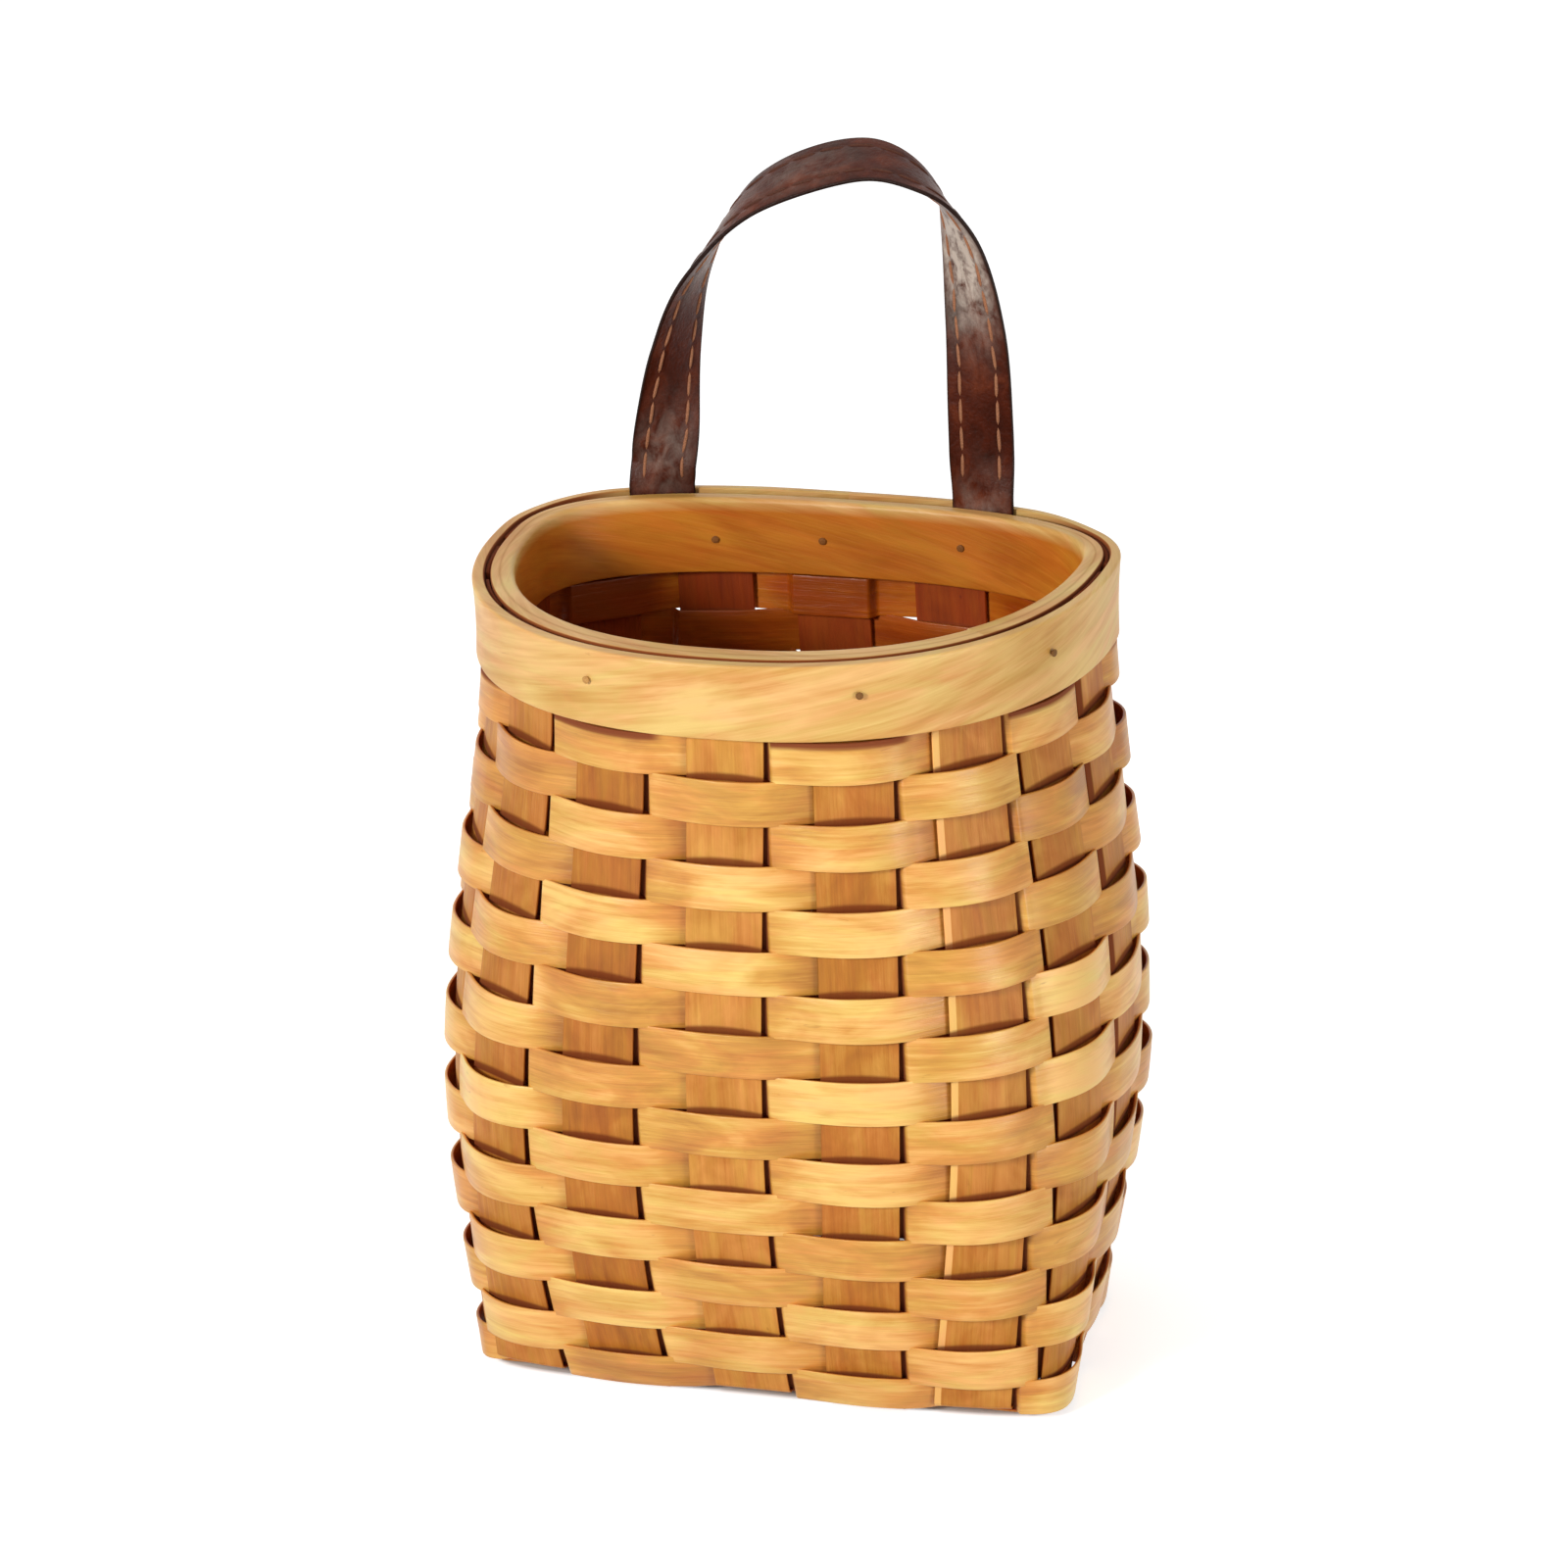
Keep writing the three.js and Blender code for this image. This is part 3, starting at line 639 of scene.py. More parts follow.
def rowCourse(row, middle):
    # for each stake in a row's turn: its place, 1 where the row passes outside and -1 inside, and
    # the bulge, crown + corner x turn of the wall. The turn starts behind a front stake, where the
    # seam of the row's map doesn't show
    step = np.arange(len(stakeRing) + 1) + (row + 1) % 2
    order = step % len(stakeRing)
    centres = np.array([stakeShare(wall, middle) for wall in stakeRing])[order]
    centres = centres + step // len(stakeRing)
    sides = np.where((order + row) % 2 == 0, 1.0, -1.0)
    normals = wallSample(np.full(len(order), middle), centres)[:, 2:]
    bearing = np.unwrap(np.arctan2(normals[:, 1], normals[:, 0]))
    atFoot = weaver["footShare"] + (1 - weaver["footShare"]) * smooth(middle / weaver["footCalm"])
    turn = np.clip(np.abs(np.gradient(bearing)) - weaver["calm"], 0, 1) * atFoot
    outside = weaver["crown"] + weaver["cornerCrown"] * turn
    outside = outside * chance.uniform(*weaver["crownSpread"], len(turn))
    inside = weaver["insideCrown"] + weaver["insideCorner"] * turn
    bulge = np.where(sides > 0, outside, inside) * sides
    bulge[-1] = bulge[0]
    return centres, sides, bulge


def weaverRow(row):
    # offset = crossing level + bulge |cos(pi f)|^power, with f the share of the way between stakes
    overlap = weaver["overlap"] + weaver["lowOverlap"] * easing(row, *weaver["lowRows"])
    above = {1: -weaver["topGap"], splint["rows"]: weaver["footOverlap"]}
    top = weaveTop - rowPitch * (row - 1) + above.get(row, overlap)
    bottom = max(weaveTop - rowPitch * row - overlap, weaver["footHeight"])
    middle, half = (top + bottom) / 2, (top - bottom) / 2
    centres, sides, bulge = rowCourse(row, middle)
    spans = np.diff(centres) * wallLength(middle)
    f = np.concatenate([spacedSteps(span) for span in spans])
    i = np.repeat(np.arange(len(spans)), weaver["samples"])
    share = centres[i] + (centres[i + 1] - centres[i]) * f
    span = spans[i]
    arch = np.abs(np.cos(math.pi * f)) ** weaver["crownPower"]
    arch = np.where(f < 0.5, bulge[i], bulge[i + 1]) * arch
    spanMiddle = np.mod((centres[i] + centres[i + 1]) / 2, 1)
    steepIn = (spanMiddle > weaver["steepInFrom"]) & (spanMiddle < 0.5)
    steepOut = (spanMiddle < weaver["steepOutTo"]) | (spanMiddle > 0.5)
    level = crossing(sides[i], f * span, span, steepOut, steepIn)
    faceSteps = weaver["topFaceSteps"] if row == 1 else weaver["faceSteps"]
    loop = roundedLoop(half, halfSplint, weaver["rounding"], faceSteps)
    lean = wander(len(f), weaver["leanKnots"], weaver["lean"])
    centreHeight = middle + wander(len(f), weaver["riseKnots"], weaver["riseAndFall"])
    height = centreHeight[:, None] + loop[None, :, 0]
    leaning = lean[:, None] * loop[None, :, 0] / half
    if row == splint["rows"]:
        # the lowest row tucks in behind the bends of the stakes
        inward = np.clip(-level / weaver["inside"], 0, 1)[:, None]
        low = smooth((bendHeight + weaver["tuckAbove"] - height) / weaver["tuckBlend"])
        leaning = leaning - weaver["footLean"] * inward * low
    points = wallAt(height, share[:, None], (level + arch)[:, None] + loop[None, :, 1] + leaning)
    # painted shadow: the row is darker where it lies behind a stake on its steep side, in the slit
    # beside the stake
    paintedShadeAndJoints = smooth(-level / weaver["paintedShadeBlend"]) * np.where(sides[i] > 0, steepIn, steepOut)
    paintedShadeAndJoints = paintedShadeAndJoints[:, None]
    if row == 1:
        # painted shade: a dark line where the top row comes out under the hoops
        shade = smooth((height - top + weaver["hoopShade"]) / weaver["hoopShadeBlend"])
        paintedShadeAndJoints = np.maximum(paintedShadeAndJoints, shade * smooth(level)[:, None])
    inside = insideOf(loop)
    running = np.append(share, share[0] + 1) * wallLength(middle) * metre
    shiftAlong, shiftAcross = weaver["mapShift"]
    uv = gridMap(running + row * shiftAlong, loopDistance(loop) + row * shiftAcross)
    spread, rowSpread = weaver["toneSpread"], weaver["rowToneSpread"]
    stakeTone = chance.uniform(-spread, spread, len(sides))
    # painted shade: the top rows darker
    stakeTone = stakeTone - weaver["topShadeTone"] * easing(row, *weaver["shadedTopRows"])
    stakeTone[-1] = stakeTone[0]
    blend = smooth((f - weaver["toneFrom"]) / weaver["toneBlend"])
    tone = stakeTone[i] * (1 - blend) + stakeTone[i + 1] * blend + chance.uniform(-rowSpread, rowSpread)
    # painted light and shade: lighter where the row stands out, darker where it sinks behind a stake
    tone = tone + weaver["baseTone"] + weaver["crownLightTone"] * (level + arch - 1)
    marks = {"tone": tone[:, None], "inside": inside, "paintedShadeAndJoints": paintedShadeAndJoints * (1 - inside)}
    piece = closedMesh(f"weaver_{row:02d}", points, uv, True, marks)
    setMaterial(piece, weaverWood)
    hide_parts(f"weaver_row_{row:02d}")
    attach(piece, "basket")


for row in range(1, splint["rows"] + 1):
    weaverRow(row)
print("weavers made:", splint["rows"])

# Stakes: each strip runs down one wall, under the base and up the other wall

stake = {
    "wallStep": 2.5, "bendSteps": 8, "baseStep": 2.0, "faceSteps": 36, "rounding": 0.3,
    # tones of the long and cross strips, and how pale the left edge of each long one is
    "longTones": (0.03, -0.07, 0.12, 0.0, 0.03),
    "crossTones": (0.05, 0.0, -0.03),
    "paleEdges": (0.0, 0.0, 0.0, 0.0, 1.3), "paleWidth": 2.2, "paleBlend": 0.5,
    # painted shadows at the slits beside the cross strips, and painted shade where rows cross and under
    # the hoops
    "slitShadows": (0.0, 0.95, 0.7), "slitShadowWidth": 4.5, "slitShadowBlend": 1.2,
    "crescentBow": 0.07, "hiddenTop": 10.0, "hiddenBlend": 4.0,
    "mapSpread": 5.0,
}


def stripSections(places, side, loop):
    # the wall part of a strip from its top down to the bend, one outline a step
    steps = int(rimHeight / stake["wallStep"])
    heights = np.linspace(rimHeight - hoop["stakeSetBack"], bendHeight, steps)
    centre = stakeShare(places, heights)
    share = centre[:, None] + side * loop[None, :, 0] / wallLength(heights)[:, None]
    return wallAt(heights[:, None], share, loop[None, :, 1])


def bendSections(places, side, loop, inward, level):
    # a quarter ellipse from the foot of the wall: in by reach (1 - cos), down by (height - level) sin
    share = stakeShare(places, bendHeight) + side * loop[:, 0] / wallLength(bendHeight)
    foot = wallAt(bendHeight, share, 0.0)
    normal = wallAt(bendHeight, share, 1.0) - foot
    angle = np.linspace(0, math.pi / 2, stake["bendSteps"] + 1)[1:, None, None]
    point = foot + inward * splint["bendReach"] * (1 - np.cos(angle))
    point = point + up * (level - bendHeight) * np.sin(angle)
    return point + (normal * np.cos(angle) - up * np.sin(angle)) * loop[None, :, 1, None]


def stripFeet(strip):
    # the feet of a strip's two walls, and the way from the first to the second
    feet = [wallAt(bendHeight, stakeShare(wall, bendHeight), 0.0) for wall in strip]
    return feet, (feet[1] - feet[0]) / np.linalg.norm(feet[1] - feet[0])


def footEnds(strip):
    # where a strip meets the base: the feet of its walls moved in by the bend's reach
    feet, way = stripFeet(strip)
    return feet[0] + way * splint["bendReach"], feet[1] - way * splint["bendReach"]


def crossingLevels(strip, first, share):
    # the strip's level across the base: held over or under each crossing strip, smooth in between
    levels, places = [], []
    start, end = footEnds(strip)
    run = end - start
    for index, other in enumerate(crossStripShares):
        a, b = footEnds(other)
        way, away = b - a, a - start
        places.append((away[0] * way[1] - away[1] * way[0]) / (run[0] * way[1] - run[1] * way[0]))
        levels.append(overLevel if (index + first) % 2 == 0 else underLevel)
    hold = (halfStake + splint["crossingMargin"]) / np.linalg.norm(run)
    level = np.full_like(share, levels[0])
    for k in range(1, len(levels)):
        step = levels[k] - levels[k - 1]
        level = level + step * easing(share, places[k - 1] + hold, places[k] - hold)
    return level


def weavePhase(wall, height):
    # rows counted down from the top, plus the stake's place in the ring: it shows in even steps
    return (weaveTop - height) / rowPitch + stakeRing.index(wall) % 2


def makeStrip(name, strip, startLevel, levelOf, node, tone, paleEdge=0.0, slitShadow=0.0):
    # one outline swept down the first wall, round the bend, across the base and up the second wall
    loop = roundedLoop(halfStake, halfSplint, stake["rounding"], stake["faceSteps"])
    feet, inward = stripFeet(strip)
    down = stripSections(strip[0], 1, loop)
    downBend = bendSections(strip[0], 1, loop, inward, startLevel)
    upBend = bendSections(strip[1], -1, loop, -inward, startLevel)[::-1]
    upWall = stripSections(strip[1], -1, loop)[::-1]
    steps = int(np.linalg.norm(feet[1] - feet[0]) / stake["baseStep"])
    share = np.linspace(0, 1, steps)[1:-1]
    start, end = downBend[-1], upBend[0]
    base = start[None] + (end - start)[None] * share[:, None, None]
    base[..., 2] += (levelOf(share) - startLevel)[:, None]
    points = np.concatenate([down, downBend, base, upBend, upWall])
    running = runningLength(points.mean(axis=1)) * metre
    uv = gridMap(running + chance.uniform(0, stake["mapSpread"]), loopDistance(loop))
    height = points[..., 2]
    section = np.arange(len(points))[:, None]
    onFirst = section < len(points) // 2
    phase = np.where(onFirst, weavePhase(strip[0], height), weavePhase(strip[1], height))
    phase = phase - stake["crescentBow"] * (loop[None, :, 0] / splint["stakeWidth"] * 2) ** 2
    onBase = (section >= len(down)) & (section < len(points) - len(upWall))
    phase = np.where(onBase, 0.5, phase)
    # painted shade on the stakes' tops under the hoops, and a painted shadow in the slit beside a cross
    # strip
    hidden = smooth((height - rimHeight + stake["hiddenTop"]) / stake["hiddenBlend"])
    fromEdge = halfStake + loop[None, :, 0]
    pale = paleEdge * smooth((stake["paleWidth"] - fromEdge) / stake["paleBlend"])
    paintedShadeAndJoints = np.maximum(hidden, slitShadow * smooth((stake["slitShadowWidth"] - fromEdge) / stake["slitShadowBlend"]))
    marks = {"tone": tone + pale, "inside": insideOf(loop), "weavePhase": phase, "paintedShadeAndJoints": paintedShadeAndJoints}
    piece = closedMesh(name, points, uv, False, marks)
    setMaterial(piece, stakeWood)
    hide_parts(node)
    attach(piece, "basket")


for index, strip in enumerate(longStripShares):
    level = overLevel if index % 2 == 0 else underLevel
    makeStrip(f"long_stake_{index + 1}", strip, level,
              lambda share, strip=strip, index=index: crossingLevels(strip, index, share),
              f"stake_front_back_{index + 1}", stake["longTones"][index], stake["paleEdges"][index])
for index, strip in enumerate(crossStripShares):
    makeStrip(f"cross_stake_{index + 1}", strip, crossLevel,
              lambda share: np.full_like(share, crossLevel), f"stake_side_side_{index + 1}",
              stake["crossTones"][index], slitShadow=stake["slitShadows"][index])
print("stakes made:", len(longStripShares) + len(crossStripShares))

# Hoops: bent bands that clamp the stakes' tops

rim = {
    "samples": 960, "cornerSteps": 5, "faceSteps": 8, "topSteps": 16,
    # rounding of the near and far top edges, and of the foot
    "innerRounds": (0.6, 1.5), "outerRounds": (0.5, 1.0), "edgeRound": 0.6,
    # where the ends lap
    "innerSeam": 0.158, "outerSeam": 0.5, "lap": 0.8, "lapShare": 0.1,
    "tone": 0.02, "toneKnots": 18, "toneWander": 0.05,
    # painted shade in the gap at the stakes, fainter across the back
    "gapWidth": 0.45, "gapBlend": 0.3, "calmBack": 0.8, "calmHalf": 0.16, "calmBlend": 0.05,
    # the inner face's painted shade, and the line where two layers meet
    "innerShadeDrop": 1.0, "innerShadeBlend": 3.0, "innerShadeReach": 0.7,
    "layerShade": 0.35, "layerPlace": 0.4, "layerWidth": 0.05, "layerDrop": 0.3,
}


def bandLoop(near, far, nearTopRound, farTopRound):
    # a hoop's outline at one place: from the near top over to the far one, down and round the foot
    quarter = np.linspace(0, math.pi / 2, rim["cornerSteps"] + 1)
    outward = np.sign(far - near)
    footRound = rim["edgeRound"]
    footHeight = rimHeight - hoop["depth"] + footRound

    def arc(height, offset, radius, startAngle):
        angle = (startAngle + quarter)[::-1]
        return np.stack([height + radius * np.sin(angle), offset + radius * outward * np.cos(angle)], -1)

    def face(start, end, steps):
        return np.linspace(start[-1], end[0], steps + 1)[1:-1]

    nearTop = arc(rimHeight - nearTopRound, near + outward * nearTopRound, nearTopRound, math.pi / 2)
    farTop = arc(rimHeight - farTopRound, far - outward * farTopRound, farTopRound, 0)
    farFoot = arc(footHeight, far - outward * footRound, footRound, -math.pi / 2)
    nearFoot = arc(footHeight, near + outward * footRound, footRound, math.pi)
    farFace = face(farTop, farFoot, rim["faceSteps"])
    nearFace = face(nearFoot, nearTop, rim["faceSteps"])
    topFace = face(nearTop, farTop, rim["topSteps"])
    return np.concatenate([nearTop, topFace, farTop, farFace, farFoot, nearFoot, nearFace])


def makeHoop(name, node, seam, nearOf, farOf, topRounds):
    # the band runs once round from its seam, where one end laps over the other: its thickness
    # grows there by lap e^(-s / length), with s the share from the seam
    share = np.arange(rim["samples"]) / rim["samples"] + seam
    near, far = nearOf(share), farOf(share)
    far = far + np.sign(far - near) * rim["lap"] * np.exp(-(share - seam) / rim["lapShare"])
    loops = np.array([bandLoop(n, f, *topRounds) for n, f in zip(near, far)])
    height, offset = loops[..., 0], loops[..., 1]
    points = wallAt(height, share[:, None], offset)
    points[..., 1] = np.minimum(points[..., 1], wallSeat)
    running = np.append(share, share[0] + 1) * wallLength(rimHeight - hoop["depth"] / 2) * metre
    tone = rim["tone"] + wander(rim["samples"], rim["toneKnots"], rim["toneWander"])
    # painted shade along the gap between the hoops
    paintedShadeAndJoints = smooth((rim["gapWidth"] - np.abs(offset - near[:, None])) / rim["gapBlend"])
    inside = np.zeros_like(paintedShadeAndJoints)
    if name == "inner_hoop":
        # its inner face is darkened below the top as painted shade, and a fine line marks the joint of
        # two layers
        inside = smooth((rimHeight - rim["innerShadeDrop"] - height) / rim["innerShadeBlend"])
        inside = inside * (np.abs(offset - far[:, None]) < rim["innerShadeReach"])
        layers = (offset - near[:, None]) / (far - near)[:, None]
        line = rim["layerShade"] * np.exp(-((layers - rim["layerPlace"]) / rim["layerWidth"]) ** 2)
        paintedShadeAndJoints = np.maximum(paintedShadeAndJoints, line * (height > rimHeight - rim["layerDrop"]))
    atBack = smooth((rim["calmHalf"] - np.abs(np.mod(share, 1) - 0.5)) / rim["calmBlend"])
    paintedShadeAndJoints = paintedShadeAndJoints * (1 - rim["calmBack"] * atBack)[:, None]
    marks = {"tone": tone[:, None], "inside": inside, "paintedShadeAndJoints": paintedShadeAndJoints}
    piece = closedMesh(name, points, gridMap(running, loopDistance(loops[0])), True, marks)
    setMaterial(piece, hoopWood)
    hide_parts(node)
    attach(piece, "basket")


makeHoop("inner_hoop", "hoop_inner", rim["innerSeam"], lambda s: np.full_like(s, -stakeHolds),
         lambda s: -stakeHolds - innerHoopAt(s), rim["innerRounds"])
makeHoop("outer_hoop", "hoop_outer", rim["outerSeam"], bulgeAt,
         lambda s: bulgeAt(s) + outerHoopAt(s), rim["outerRounds"])
print("hoops made")

# Leather loop: one strap from inside the rim, round the twisted loop and back

# painted highlights along the strap: middle, spread, strength on the front face and on the rear one
leatherLook = {
    "mottle": (120, 160), "broad": (28, 60), "sheenNoise": (150, 230), "pores": (900, 900),
    "mottleShare": 0.55, "broadShare": 0.45, "sheenNoiseGain": 3.0, "sheenNoiseStart": -0.95,
    "colours": (
        (0.3, (0.018, 0.003, 0.001)),
        (0.5, (0.066, 0.0105, 0.0035)),
        (0.7, (0.16, 0.034, 0.012)),
    ),
    "edgeColour": (0.014, 0.004, 0.002),
    "sheenColour": (0.56, 0.47, 0.40),
    "sheenPlaces": (
        (36, 14, 0.26, 0.26), (106, 14, 0.38, 0.38), (146, 20, 0.15, 0.15),
        (213, 19, 1.75, 0.3), (304, 16, 0.3, 0.3),
    ),
    "sheenFall": 0.6,
    "roughness": 0.22, "poreRoughness": 0.25, "gloss": 0.11,
    "relief": 0.00025, "mottleRelief": 1.4,
}
# each layer's detail, roughness and distortion
leatherLayers = {
    "mottle": (5, 0.62, 0.5), "broad": (2, 0.5, 0.0), "sheenNoise": (4, 0.65, 0.4), "pores": (3, 0.6, 0.0),
}
plainLook = {
    "speckle": (2200, 3, 0.6), "speckleStops": (0.3, 0.7), "dark": 0.7, "pale": 1.2,
    "gloss": 0.15, "relief": 0.0001,
}


def leatherMaterial():
    # mottled red brown, paler where a highlight is painted, darker along the cut edges, with a fine
    # grain
    material, tree, shader = newMaterial("oiledLeather")
    look = leatherLook
    uv = uvCoordinates(tree)
    layers = {kind: figure(tree, uv, look[kind], *settings) for kind, settings in leatherLayers.items()}
    level = mathNode(tree, "MULTIPLY", layers["broad"], look["broadShare"])
    level = mathNode(tree, "MULTIPLY_ADD", layers["mottle"], look["mottleShare"], level)
    colour = colourRamp(tree, level, look["colours"])
    sheenNoise = mathNode(tree, "MULTIPLY_ADD", layers["sheenNoise"], look["sheenNoiseGain"], look["sheenNoiseStart"])
    paintedSheen = mathNode(tree, "MULTIPLY", attribute(tree, "paintedSheen"), sheenNoise)
    paintedSheen = mathNode(tree, "MINIMUM", mathNode(tree, "MAXIMUM", paintedSheen, 0.0), 1.0)
    colour = mixColour(tree, "MIX", paintedSheen, colour, look["sheenColour"])
    colour = mixColour(tree, "MIX", attribute(tree, "edge"), colour, look["edgeColour"])
    rough = mathNode(tree, "MULTIPLY_ADD", layers["pores"], look["poreRoughness"], look["roughness"])
    height = mathNode(tree, "MULTIPLY_ADD", layers["mottle"], look["mottleRelief"], layers["pores"])
    finishShader(tree, shader, colour, rough, look, height)
    return material


def plainMaterial(name, colour, roughness):
    # one colour with a fine speckle, from dark x colour to pale x colour
    material, tree, shader = newMaterial(name)
    coordinates = newNode(tree, "TexCoord", {}).outputs["Object"]
    speckle = noise(tree, coordinates, *plainLook["speckle"])
    dark, pale = [tuple(plainLook[end] * c for c in colour) for end in ("dark", "pale")]
    darkEnd, paleStart = plainLook["speckleStops"]
    mottled = colourRamp(tree, speckle, ((darkEnd, dark), (paleStart, pale)))
    finishShader(tree, shader, mottled, roughness, plainLook, speckle)
    return material


plainColours = {
    "tanThread": ((0.36, 0.155, 0.08), 0.7),
    "darkThread": ((0.085, 0.03, 0.018), 0.7),
    "dullBrass": ((0.20, 0.09, 0.026), 0.6),
    "paleBrass": ((0.52, 0.27, 0.085), 0.6),
    "stainedBrass": ((0.25, 0.09, 0.02), 0.6),
}
oiledLeather = leatherMaterial()
plains = {name: plainMaterial(name, *look) for name, look in plainColours.items()}

loopPath = {
    # from the first leg to the second: the places along the hinge line, the rise and the twist
    "spanShares": (-1, -0.96, -0.875, -0.71, -0.325, 0.309, 0.72, 0.905, 0.985, 1, 1),
    "riseShares": (0, 0.145, 0.412, 0.654, 0.886, 1, 0.931, 0.78, 0.517, 0.244, 0),
    "turns": (-90, -88, -70, -49, -34, -22, -9, 6, 20, 27, 23,
              9, -8, -27, -46, -62, -75, -85, -90, -91, -90),
    "steps": 260, "wallSteps": 16, "tangentStep": 0.5 / 44, "endShare": 0.06,
    # the strap's outline
    "rounding": 0.8, "faceSteps": 26, "cornerSteps": 4, "faceSlack": 0.01,
    "edgeThinning": 0.5, "edgeStart": 0.9, "pillow": 0.35,
    "channel": 0.3, "channelWidth": 1.0, "lineShares": (-0.56, 0.58),
}


def loopCentre(u):
    # the hinge line's middle + half span x span share along it + rise x rise share upwards
    return (hingeMiddle + hingeAxis * (halfSpan * along(loopPath["spanShares"], u))[:, None]
            + up * (strap["rise"] * along(loopPath["riseShares"], u))[:, None])


def rimWidth(share):
    # along the wall at the rim, turned to point from the first leg to the second
    normal = wallAt(rimHeight, share, 1.0) - wallAt(rimHeight, share, 0.0)
    way = unit(np.cross(up, normal))
    return way * np.sign(way @ hingeAxis)


def loopFrames():
    # centre, width and face directions round the loop; the width turns about the path by the turns
    # and eases into the wall's own direction at both ends
    u = np.linspace(0, 1, loopPath["steps"] + 1)
    step = loopPath["tangentStep"]
    centre = loopCentre(u)
    tangent = unit(loopCentre(np.minimum(u + step, 1)) - loopCentre(np.maximum(u - step, 0)))
    turn = np.radians(along(loopPath["turns"], u))[:, None]
    width = hingeBack * np.cos(turn) + np.cross(tangent, hingeBack) * np.sin(turn)
    ease = smooth(np.minimum(u, 1 - u) / loopPath["endShare"])[:, None]
    firstHalf = u[:, None] < 0.5
    firstWay, lastWay = [rimWidth(share) for share in strap["shares"]]
    width = unit(width * ease + np.where(firstHalf, firstWay, -lastWay) * (1 - ease))
    tangent = unit(tangent * ease + up * np.where(firstHalf, 1, -1) * (1 - ease))
    return centre, width, np.cross(width, tangent)


def heldEnd(share, loopWidth, going):
    # the strap's fixed end, from its foot between the stakes and the outer hoop to the hinge line;
    # its width runs along the wall, to the same side as the loop's
    height = np.linspace(rimHeight - strap["hold"], hingeHeight, loopPath["wallSteps"], endpoint=False)
    low = np.minimum(height, rimHeight)
    centre = wallAt(low, share, strapMiddle)
    normal = unit(wallAt(low, share, strapMiddle + 1) - centre)
    centre[:, 2] = height
    width = unit(np.cross(up, normal))
    width = width * np.sign(np.sum(width[-1] * loopWidth))
    return centre, width, np.cross(width, going)


def strapPath():
    # up the first end, round the loop and down the second end
    middle = loopFrames()
    first = heldEnd(strap["shares"][0], middle[1][0], up)
    last = heldEnd(strap["shares"][1], middle[1][-1], -up)
    return [np.concatenate([first[k], middle[k], last[k][::-1]]) for k in range(3)]


strapCentre, strapWidthWay, strapFaceWay = strapPath()
strapRun = runningLength(strapCentre)


def swellAt(place):
    # pillow (cos(pi p / 2) - 1 / 2) less a channel e^(-(distance / width)^2) at each line of stitches
    swell = loopPath["pillow"] * (np.cos(math.pi * place / 2) - 0.5)
    for line in loopPath["lineShares"]:
        away = (place - line) * strap["width"] / 2 / loopPath["channelWidth"]
        swell = swell - loopPath["channel"] * np.exp(-away ** 2)
    return swell


def thinAt(place):
    # 1 - thinning |place|^3
    return 1 - loopPath["edgeThinning"] * np.abs(place) ** 3


def makeStrap():
    # a rounded outline whose faces swell by swellAt and thin towards the edges, carried along the path
    loop = roundedLoop(strap["width"] / 2, halfStrap, loopPath["rounding"],
                       loopPath["faceSteps"], loopPath["cornerSteps"])
    place = loop[:, 0] / (strap["width"] / 2)
    onFace = np.abs(loop[:, 1]) > halfStrap - loopPath["faceSlack"]
    offset = (loop[:, 1] + np.sign(loop[:, 1]) * swellAt(place) * onFace) * thinAt(place)
    points = (strapCentre[:, None] + strapWidthWay[:, None] * loop[None, :, 0, None]
              + strapFaceWay[:, None] * offset[None, :, None])
    edge = easing(np.abs(place), loopPath["edgeStart"], 1)
    front = loop[None, :, 1] > 0
    # painted highlight: pale sheen at the listed places along the strap, fading towards its edges
    paintedSheen = sum(np.where(front, onFront, onRear) * np.exp(-((strapRun[:, None] - middle) / spread) ** 2)
               for middle, spread, onFront, onRear in leatherLook["sheenPlaces"])
    paintedSheen = paintedSheen * np.cos(math.pi / 2 * place)[None, :] ** leatherLook["sheenFall"]
    uv = gridMap(strapRun * metre, loopDistance(loop))
    piece = closedMesh("leather_strap", points, uv, False, {"edge": edge[None, :], "paintedSheen": paintedSheen})
    setMaterial(piece, oiledLeather)
    return piece


stitch = {
    "pitch": 9.0, "length": 8.3, "radius": 0.57, "tip": 0.02, "sink": 0.1, "arch": 0.12,
    "slant": 0.35, "endRoom": 4.0, "steps": 6, "sides": 6,
}


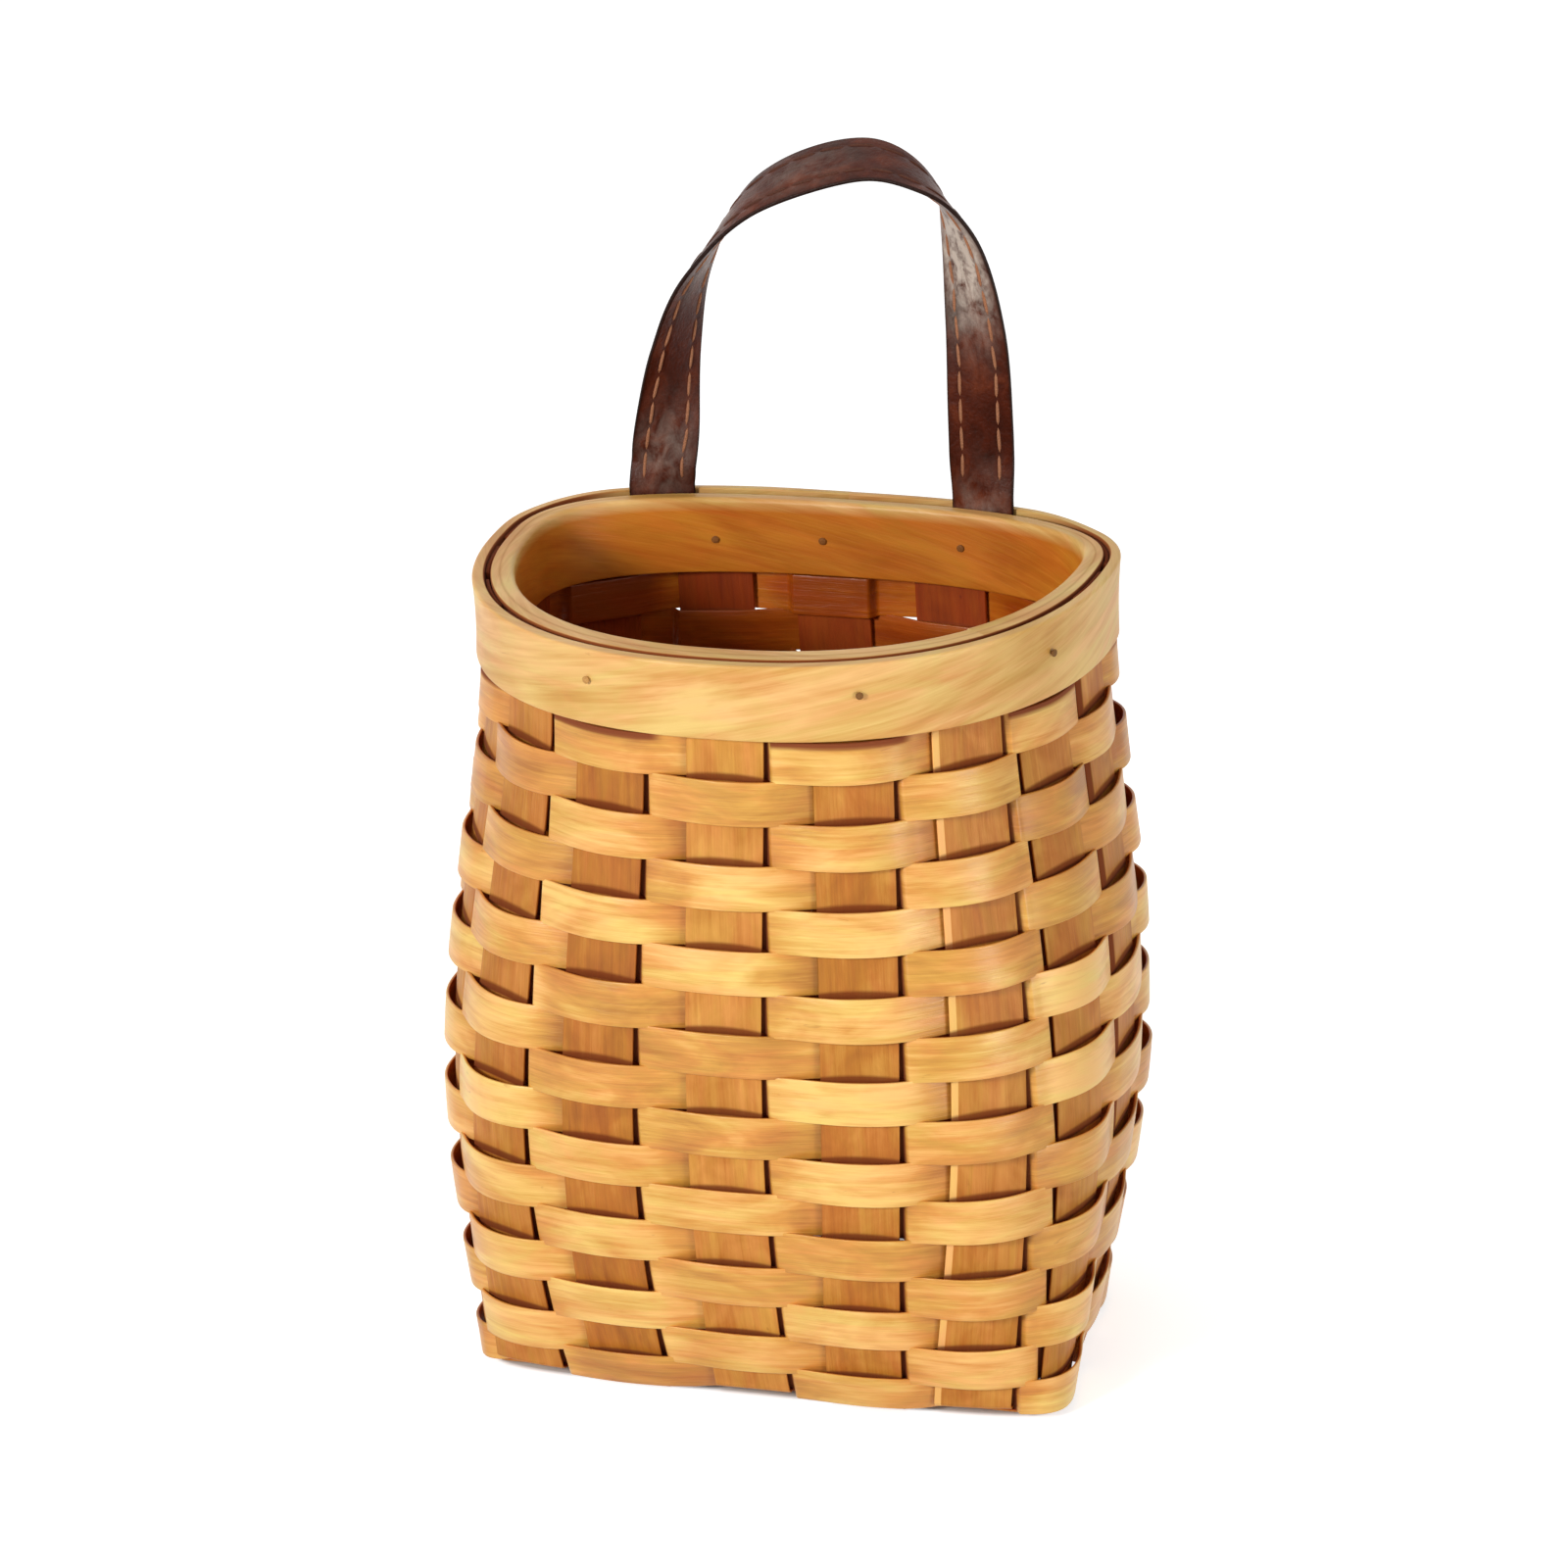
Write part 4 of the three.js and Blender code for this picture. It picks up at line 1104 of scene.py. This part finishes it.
def makeStitches(name, side, thread):
    # each stitch is a thread capsule of radius r sqrt(1 - t^4) laid along the strap, on one face
    start = strap["hold"] + stitch["endRoom"]
    end = strapRun[-1] - start
    count = int((end - start) / stitch["pitch"])
    t = np.linspace(-1, 1, stitch["steps"] + 1)
    radius = stitch["radius"] * np.sqrt(np.clip(1 - t ** 4, stitch["tip"], 1))[:, None, None]
    angle = (np.arange(stitch["sides"]) * 2 * math.pi / stitch["sides"])[None, :, None]
    run = (start + stitch["pitch"] * (np.arange(count) + 0.5))[:, None] + t * stitch["length"] / 2

    def at(values):
        return np.stack([np.interp(run, strapRun, values[:, k]) for k in range(3)], axis=-1)

    centre, width, face = at(strapCentre), unit(at(strapWidthWay)), unit(at(strapFaceWay))
    pieces = []
    for line in loopPath["lineShares"]:
        lift = (halfStrap + swellAt(line)) * thinAt(line) - stitch["sink"]
        lift = side * (lift + stitch["arch"] * (1 - t ** 2))
        slant = chance.uniform(-stitch["slant"], stitch["slant"], (count, 1, 1)) * t[None, :, None]
        path = centre + width * (line * strap["width"] / 2 + slant) + face * lift[None, :, None]
        for k in range(count):
            around = width[k][:, None] * np.cos(angle) + face[k][:, None] * np.sin(angle)
            pieces.append(closedMesh("stitch", path[k][:, None] + around * radius))
    bpy.ops.object.select_all(action="DESELECT")
    for piece in pieces:
        piece.select_set(True)
    bpy.context.view_layer.objects.active = pieces[0]
    bpy.ops.object.join()
    pieces[0].name = name
    setMaterial(pieces[0], thread)
    return pieces[0]


strapPiece = makeStrap()
frontStitches = makeStitches("strap_stitches_front", 1, plains["tanThread"])
rearStitches = makeStitches("strap_stitches_rear", -1, plains["darkThread"])
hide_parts("strap_loop", "strap_end_left", "strap_end_right")
for piece in (strapPiece, frontStitches, rearStitches):
    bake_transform(piece)
print("strap and stitches made")

bradMetals = {"brad_front_1": "paleBrass", "brad_front_2": "dullBrass", "brad_front_3": "dullBrass"}
for name, node in frame["nodes"].items():
    if name.startswith("brad"):
        setMaterial(node, plains[bradMetals.get(name, "stainedBrass")])

# Floor, lights and camera

room = {
    "floorColour": 0.75, "floorRoughness": 0.9, "floorGlow": 0.7, "floorLevel": -0.0004,
    "world": 0.3, "edge": 4.0, "footSteps": 96, "shadeInset": 4.0, "footInset": 1.5,
}
# each light's place, size, power and colour
lights = {
    "keyLight": ((-0.9, -1.95, 1.05), 0.5, 35.5, (1, 0.98, 0.95)),
    "sideLight": ((2.0, -1.1, 0.3), 0.8, 20, (1, 0.99, 0.97)),
    "topLight": ((-0.2, 0.1, 2.2), 1.2, 9, (1, 1, 1)),
}
lightTarget = Vector((0, 0, 0.15))


def lookingRays(tree):
    # 1 for a ray from the camera, or one that a shiny or clear surface sends on
    path = newNode(tree, "LightPath", {}).outputs
    onward = mathNode(tree, "MAXIMUM", path["Is Glossy Ray"], path["Is Transmission Ray"])
    return mathNode(tree, "MAXIMUM", path["Is Camera Ray"], onward)


def makeFloor():
    # three rings: just inside the basket's foot, at the foot and at the floor's far edge; the first
    # keeps the floor under the basket unlit, so that nothing shines up through the base
    steps = room["footSteps"]
    share = np.arange(steps) / steps
    shade, foot = [toFrame(wallAt(0.0, share, -room[inset])) for inset in ("shadeInset", "footInset")]
    edge = room["edge"] * unit(foot - foot.mean(axis=0))
    points = np.concatenate([shade, foot, edge])
    points[:, 2] = room["floorLevel"]
    here, there = np.arange(steps), (np.arange(steps) + 1) % steps
    band = np.stack([here, here + steps, there + steps, there], -1)
    mesh = bpy.data.meshes.new("studio_floor")
    mesh.from_pydata(points.tolist(), [], [here.tolist()] + band.tolist() + (band + steps).tolist())
    under = mesh.attributes.new("under", "FLOAT", "POINT")
    under.data.foreach_set("value", flat(np.arange(3 * steps) < steps))
    floor = newObject("studio_floor", mesh)
    material, tree, shader = newMaterial("whiteFloor")
    full = room["floorGlow"]
    glow = mathNode(tree, "MULTIPLY_ADD", attribute(tree, "under"), -full, full)
    feed(tree, shader, {
        "Base Color": (room["floorColour"],) * 3,
        "Roughness": room["floorRoughness"],
        "Emission Color": (1, 1, 1),
        "Emission Strength": mathNode(tree, "MULTIPLY", lookingRays(tree), glow),
    })
    mesh.materials.append(material)


def makeWorld():
    # strength = world + (1 - world) x looking rays, so the backdrop shows white
    world = bpy.data.worlds.new("studio")
    bpy.context.scene.world = world
    world.use_nodes = True
    tree = world.node_tree
    strength = mathNode(tree, "MULTIPLY_ADD", lookingRays(tree), 1 - room["world"], room["world"])
    feed(tree, tree.nodes["Background"], {"Color": (1, 1, 1), "Strength": strength})


def softLight(name, place, size, power, colour):
    # a round area light that looks at the target
    data = bpy.data.lights.new(name, "AREA")
    data.shape = "DISK"
    data.size = size
    data.energy = power
    data.color = colour
    lamp = newObject(name, data)
    lamp.location = place
    lamp.rotation_mode = "QUATERNION"
    lamp.rotation_quaternion = (lightTarget - Vector(place)).to_track_quat("-Z", "Y")


makeFloor()
makeWorld()
for name, settings in lights.items():
    softLight(name, *settings)

view = {
    "azimuth": 0.307, "elevation": 0.3756, "roll": -0.042, "distance": 2314.0343,
    "target": (-5.1159, -60.0, 179.6725),
    "lens": 171.067, "sensor": 36, "clipEnd": 50,
}


def makeCamera():
    # the camera stands back from the target along its azimuth and elevation, then rolls a little
    a, e, roll = view["azimuth"], view["elevation"], view["roll"]
    back = np.array([math.sin(a) * math.cos(e), -math.cos(a) * math.cos(e), math.sin(e)])
    right = unit(np.cross(up, back))
    top = np.cross(back, right)
    rolledRight = right * math.cos(roll) + top * math.sin(roll)
    rolledTop = top * math.cos(roll) - right * math.sin(roll)
    place = toFrame(np.array(view["target"]) + view["distance"] * back)
    data = bpy.data.cameras.new("photoView")
    data.lens = view["lens"]
    data.sensor_width = view["sensor"]
    data.clip_end = view["clipEnd"]
    camera = newObject("photoView", data)
    columns = [[*way, 0] for way in (rolledRight, rolledTop, back)] + [[*place, 1]]
    camera.matrix_world = Matrix(columns).transposed()
    bpy.context.scene.camera = camera


makeCamera()
bpy.context.scene.view_settings.view_transform = "Standard"
print("room and camera made")

bpy.context.view_layer.update()
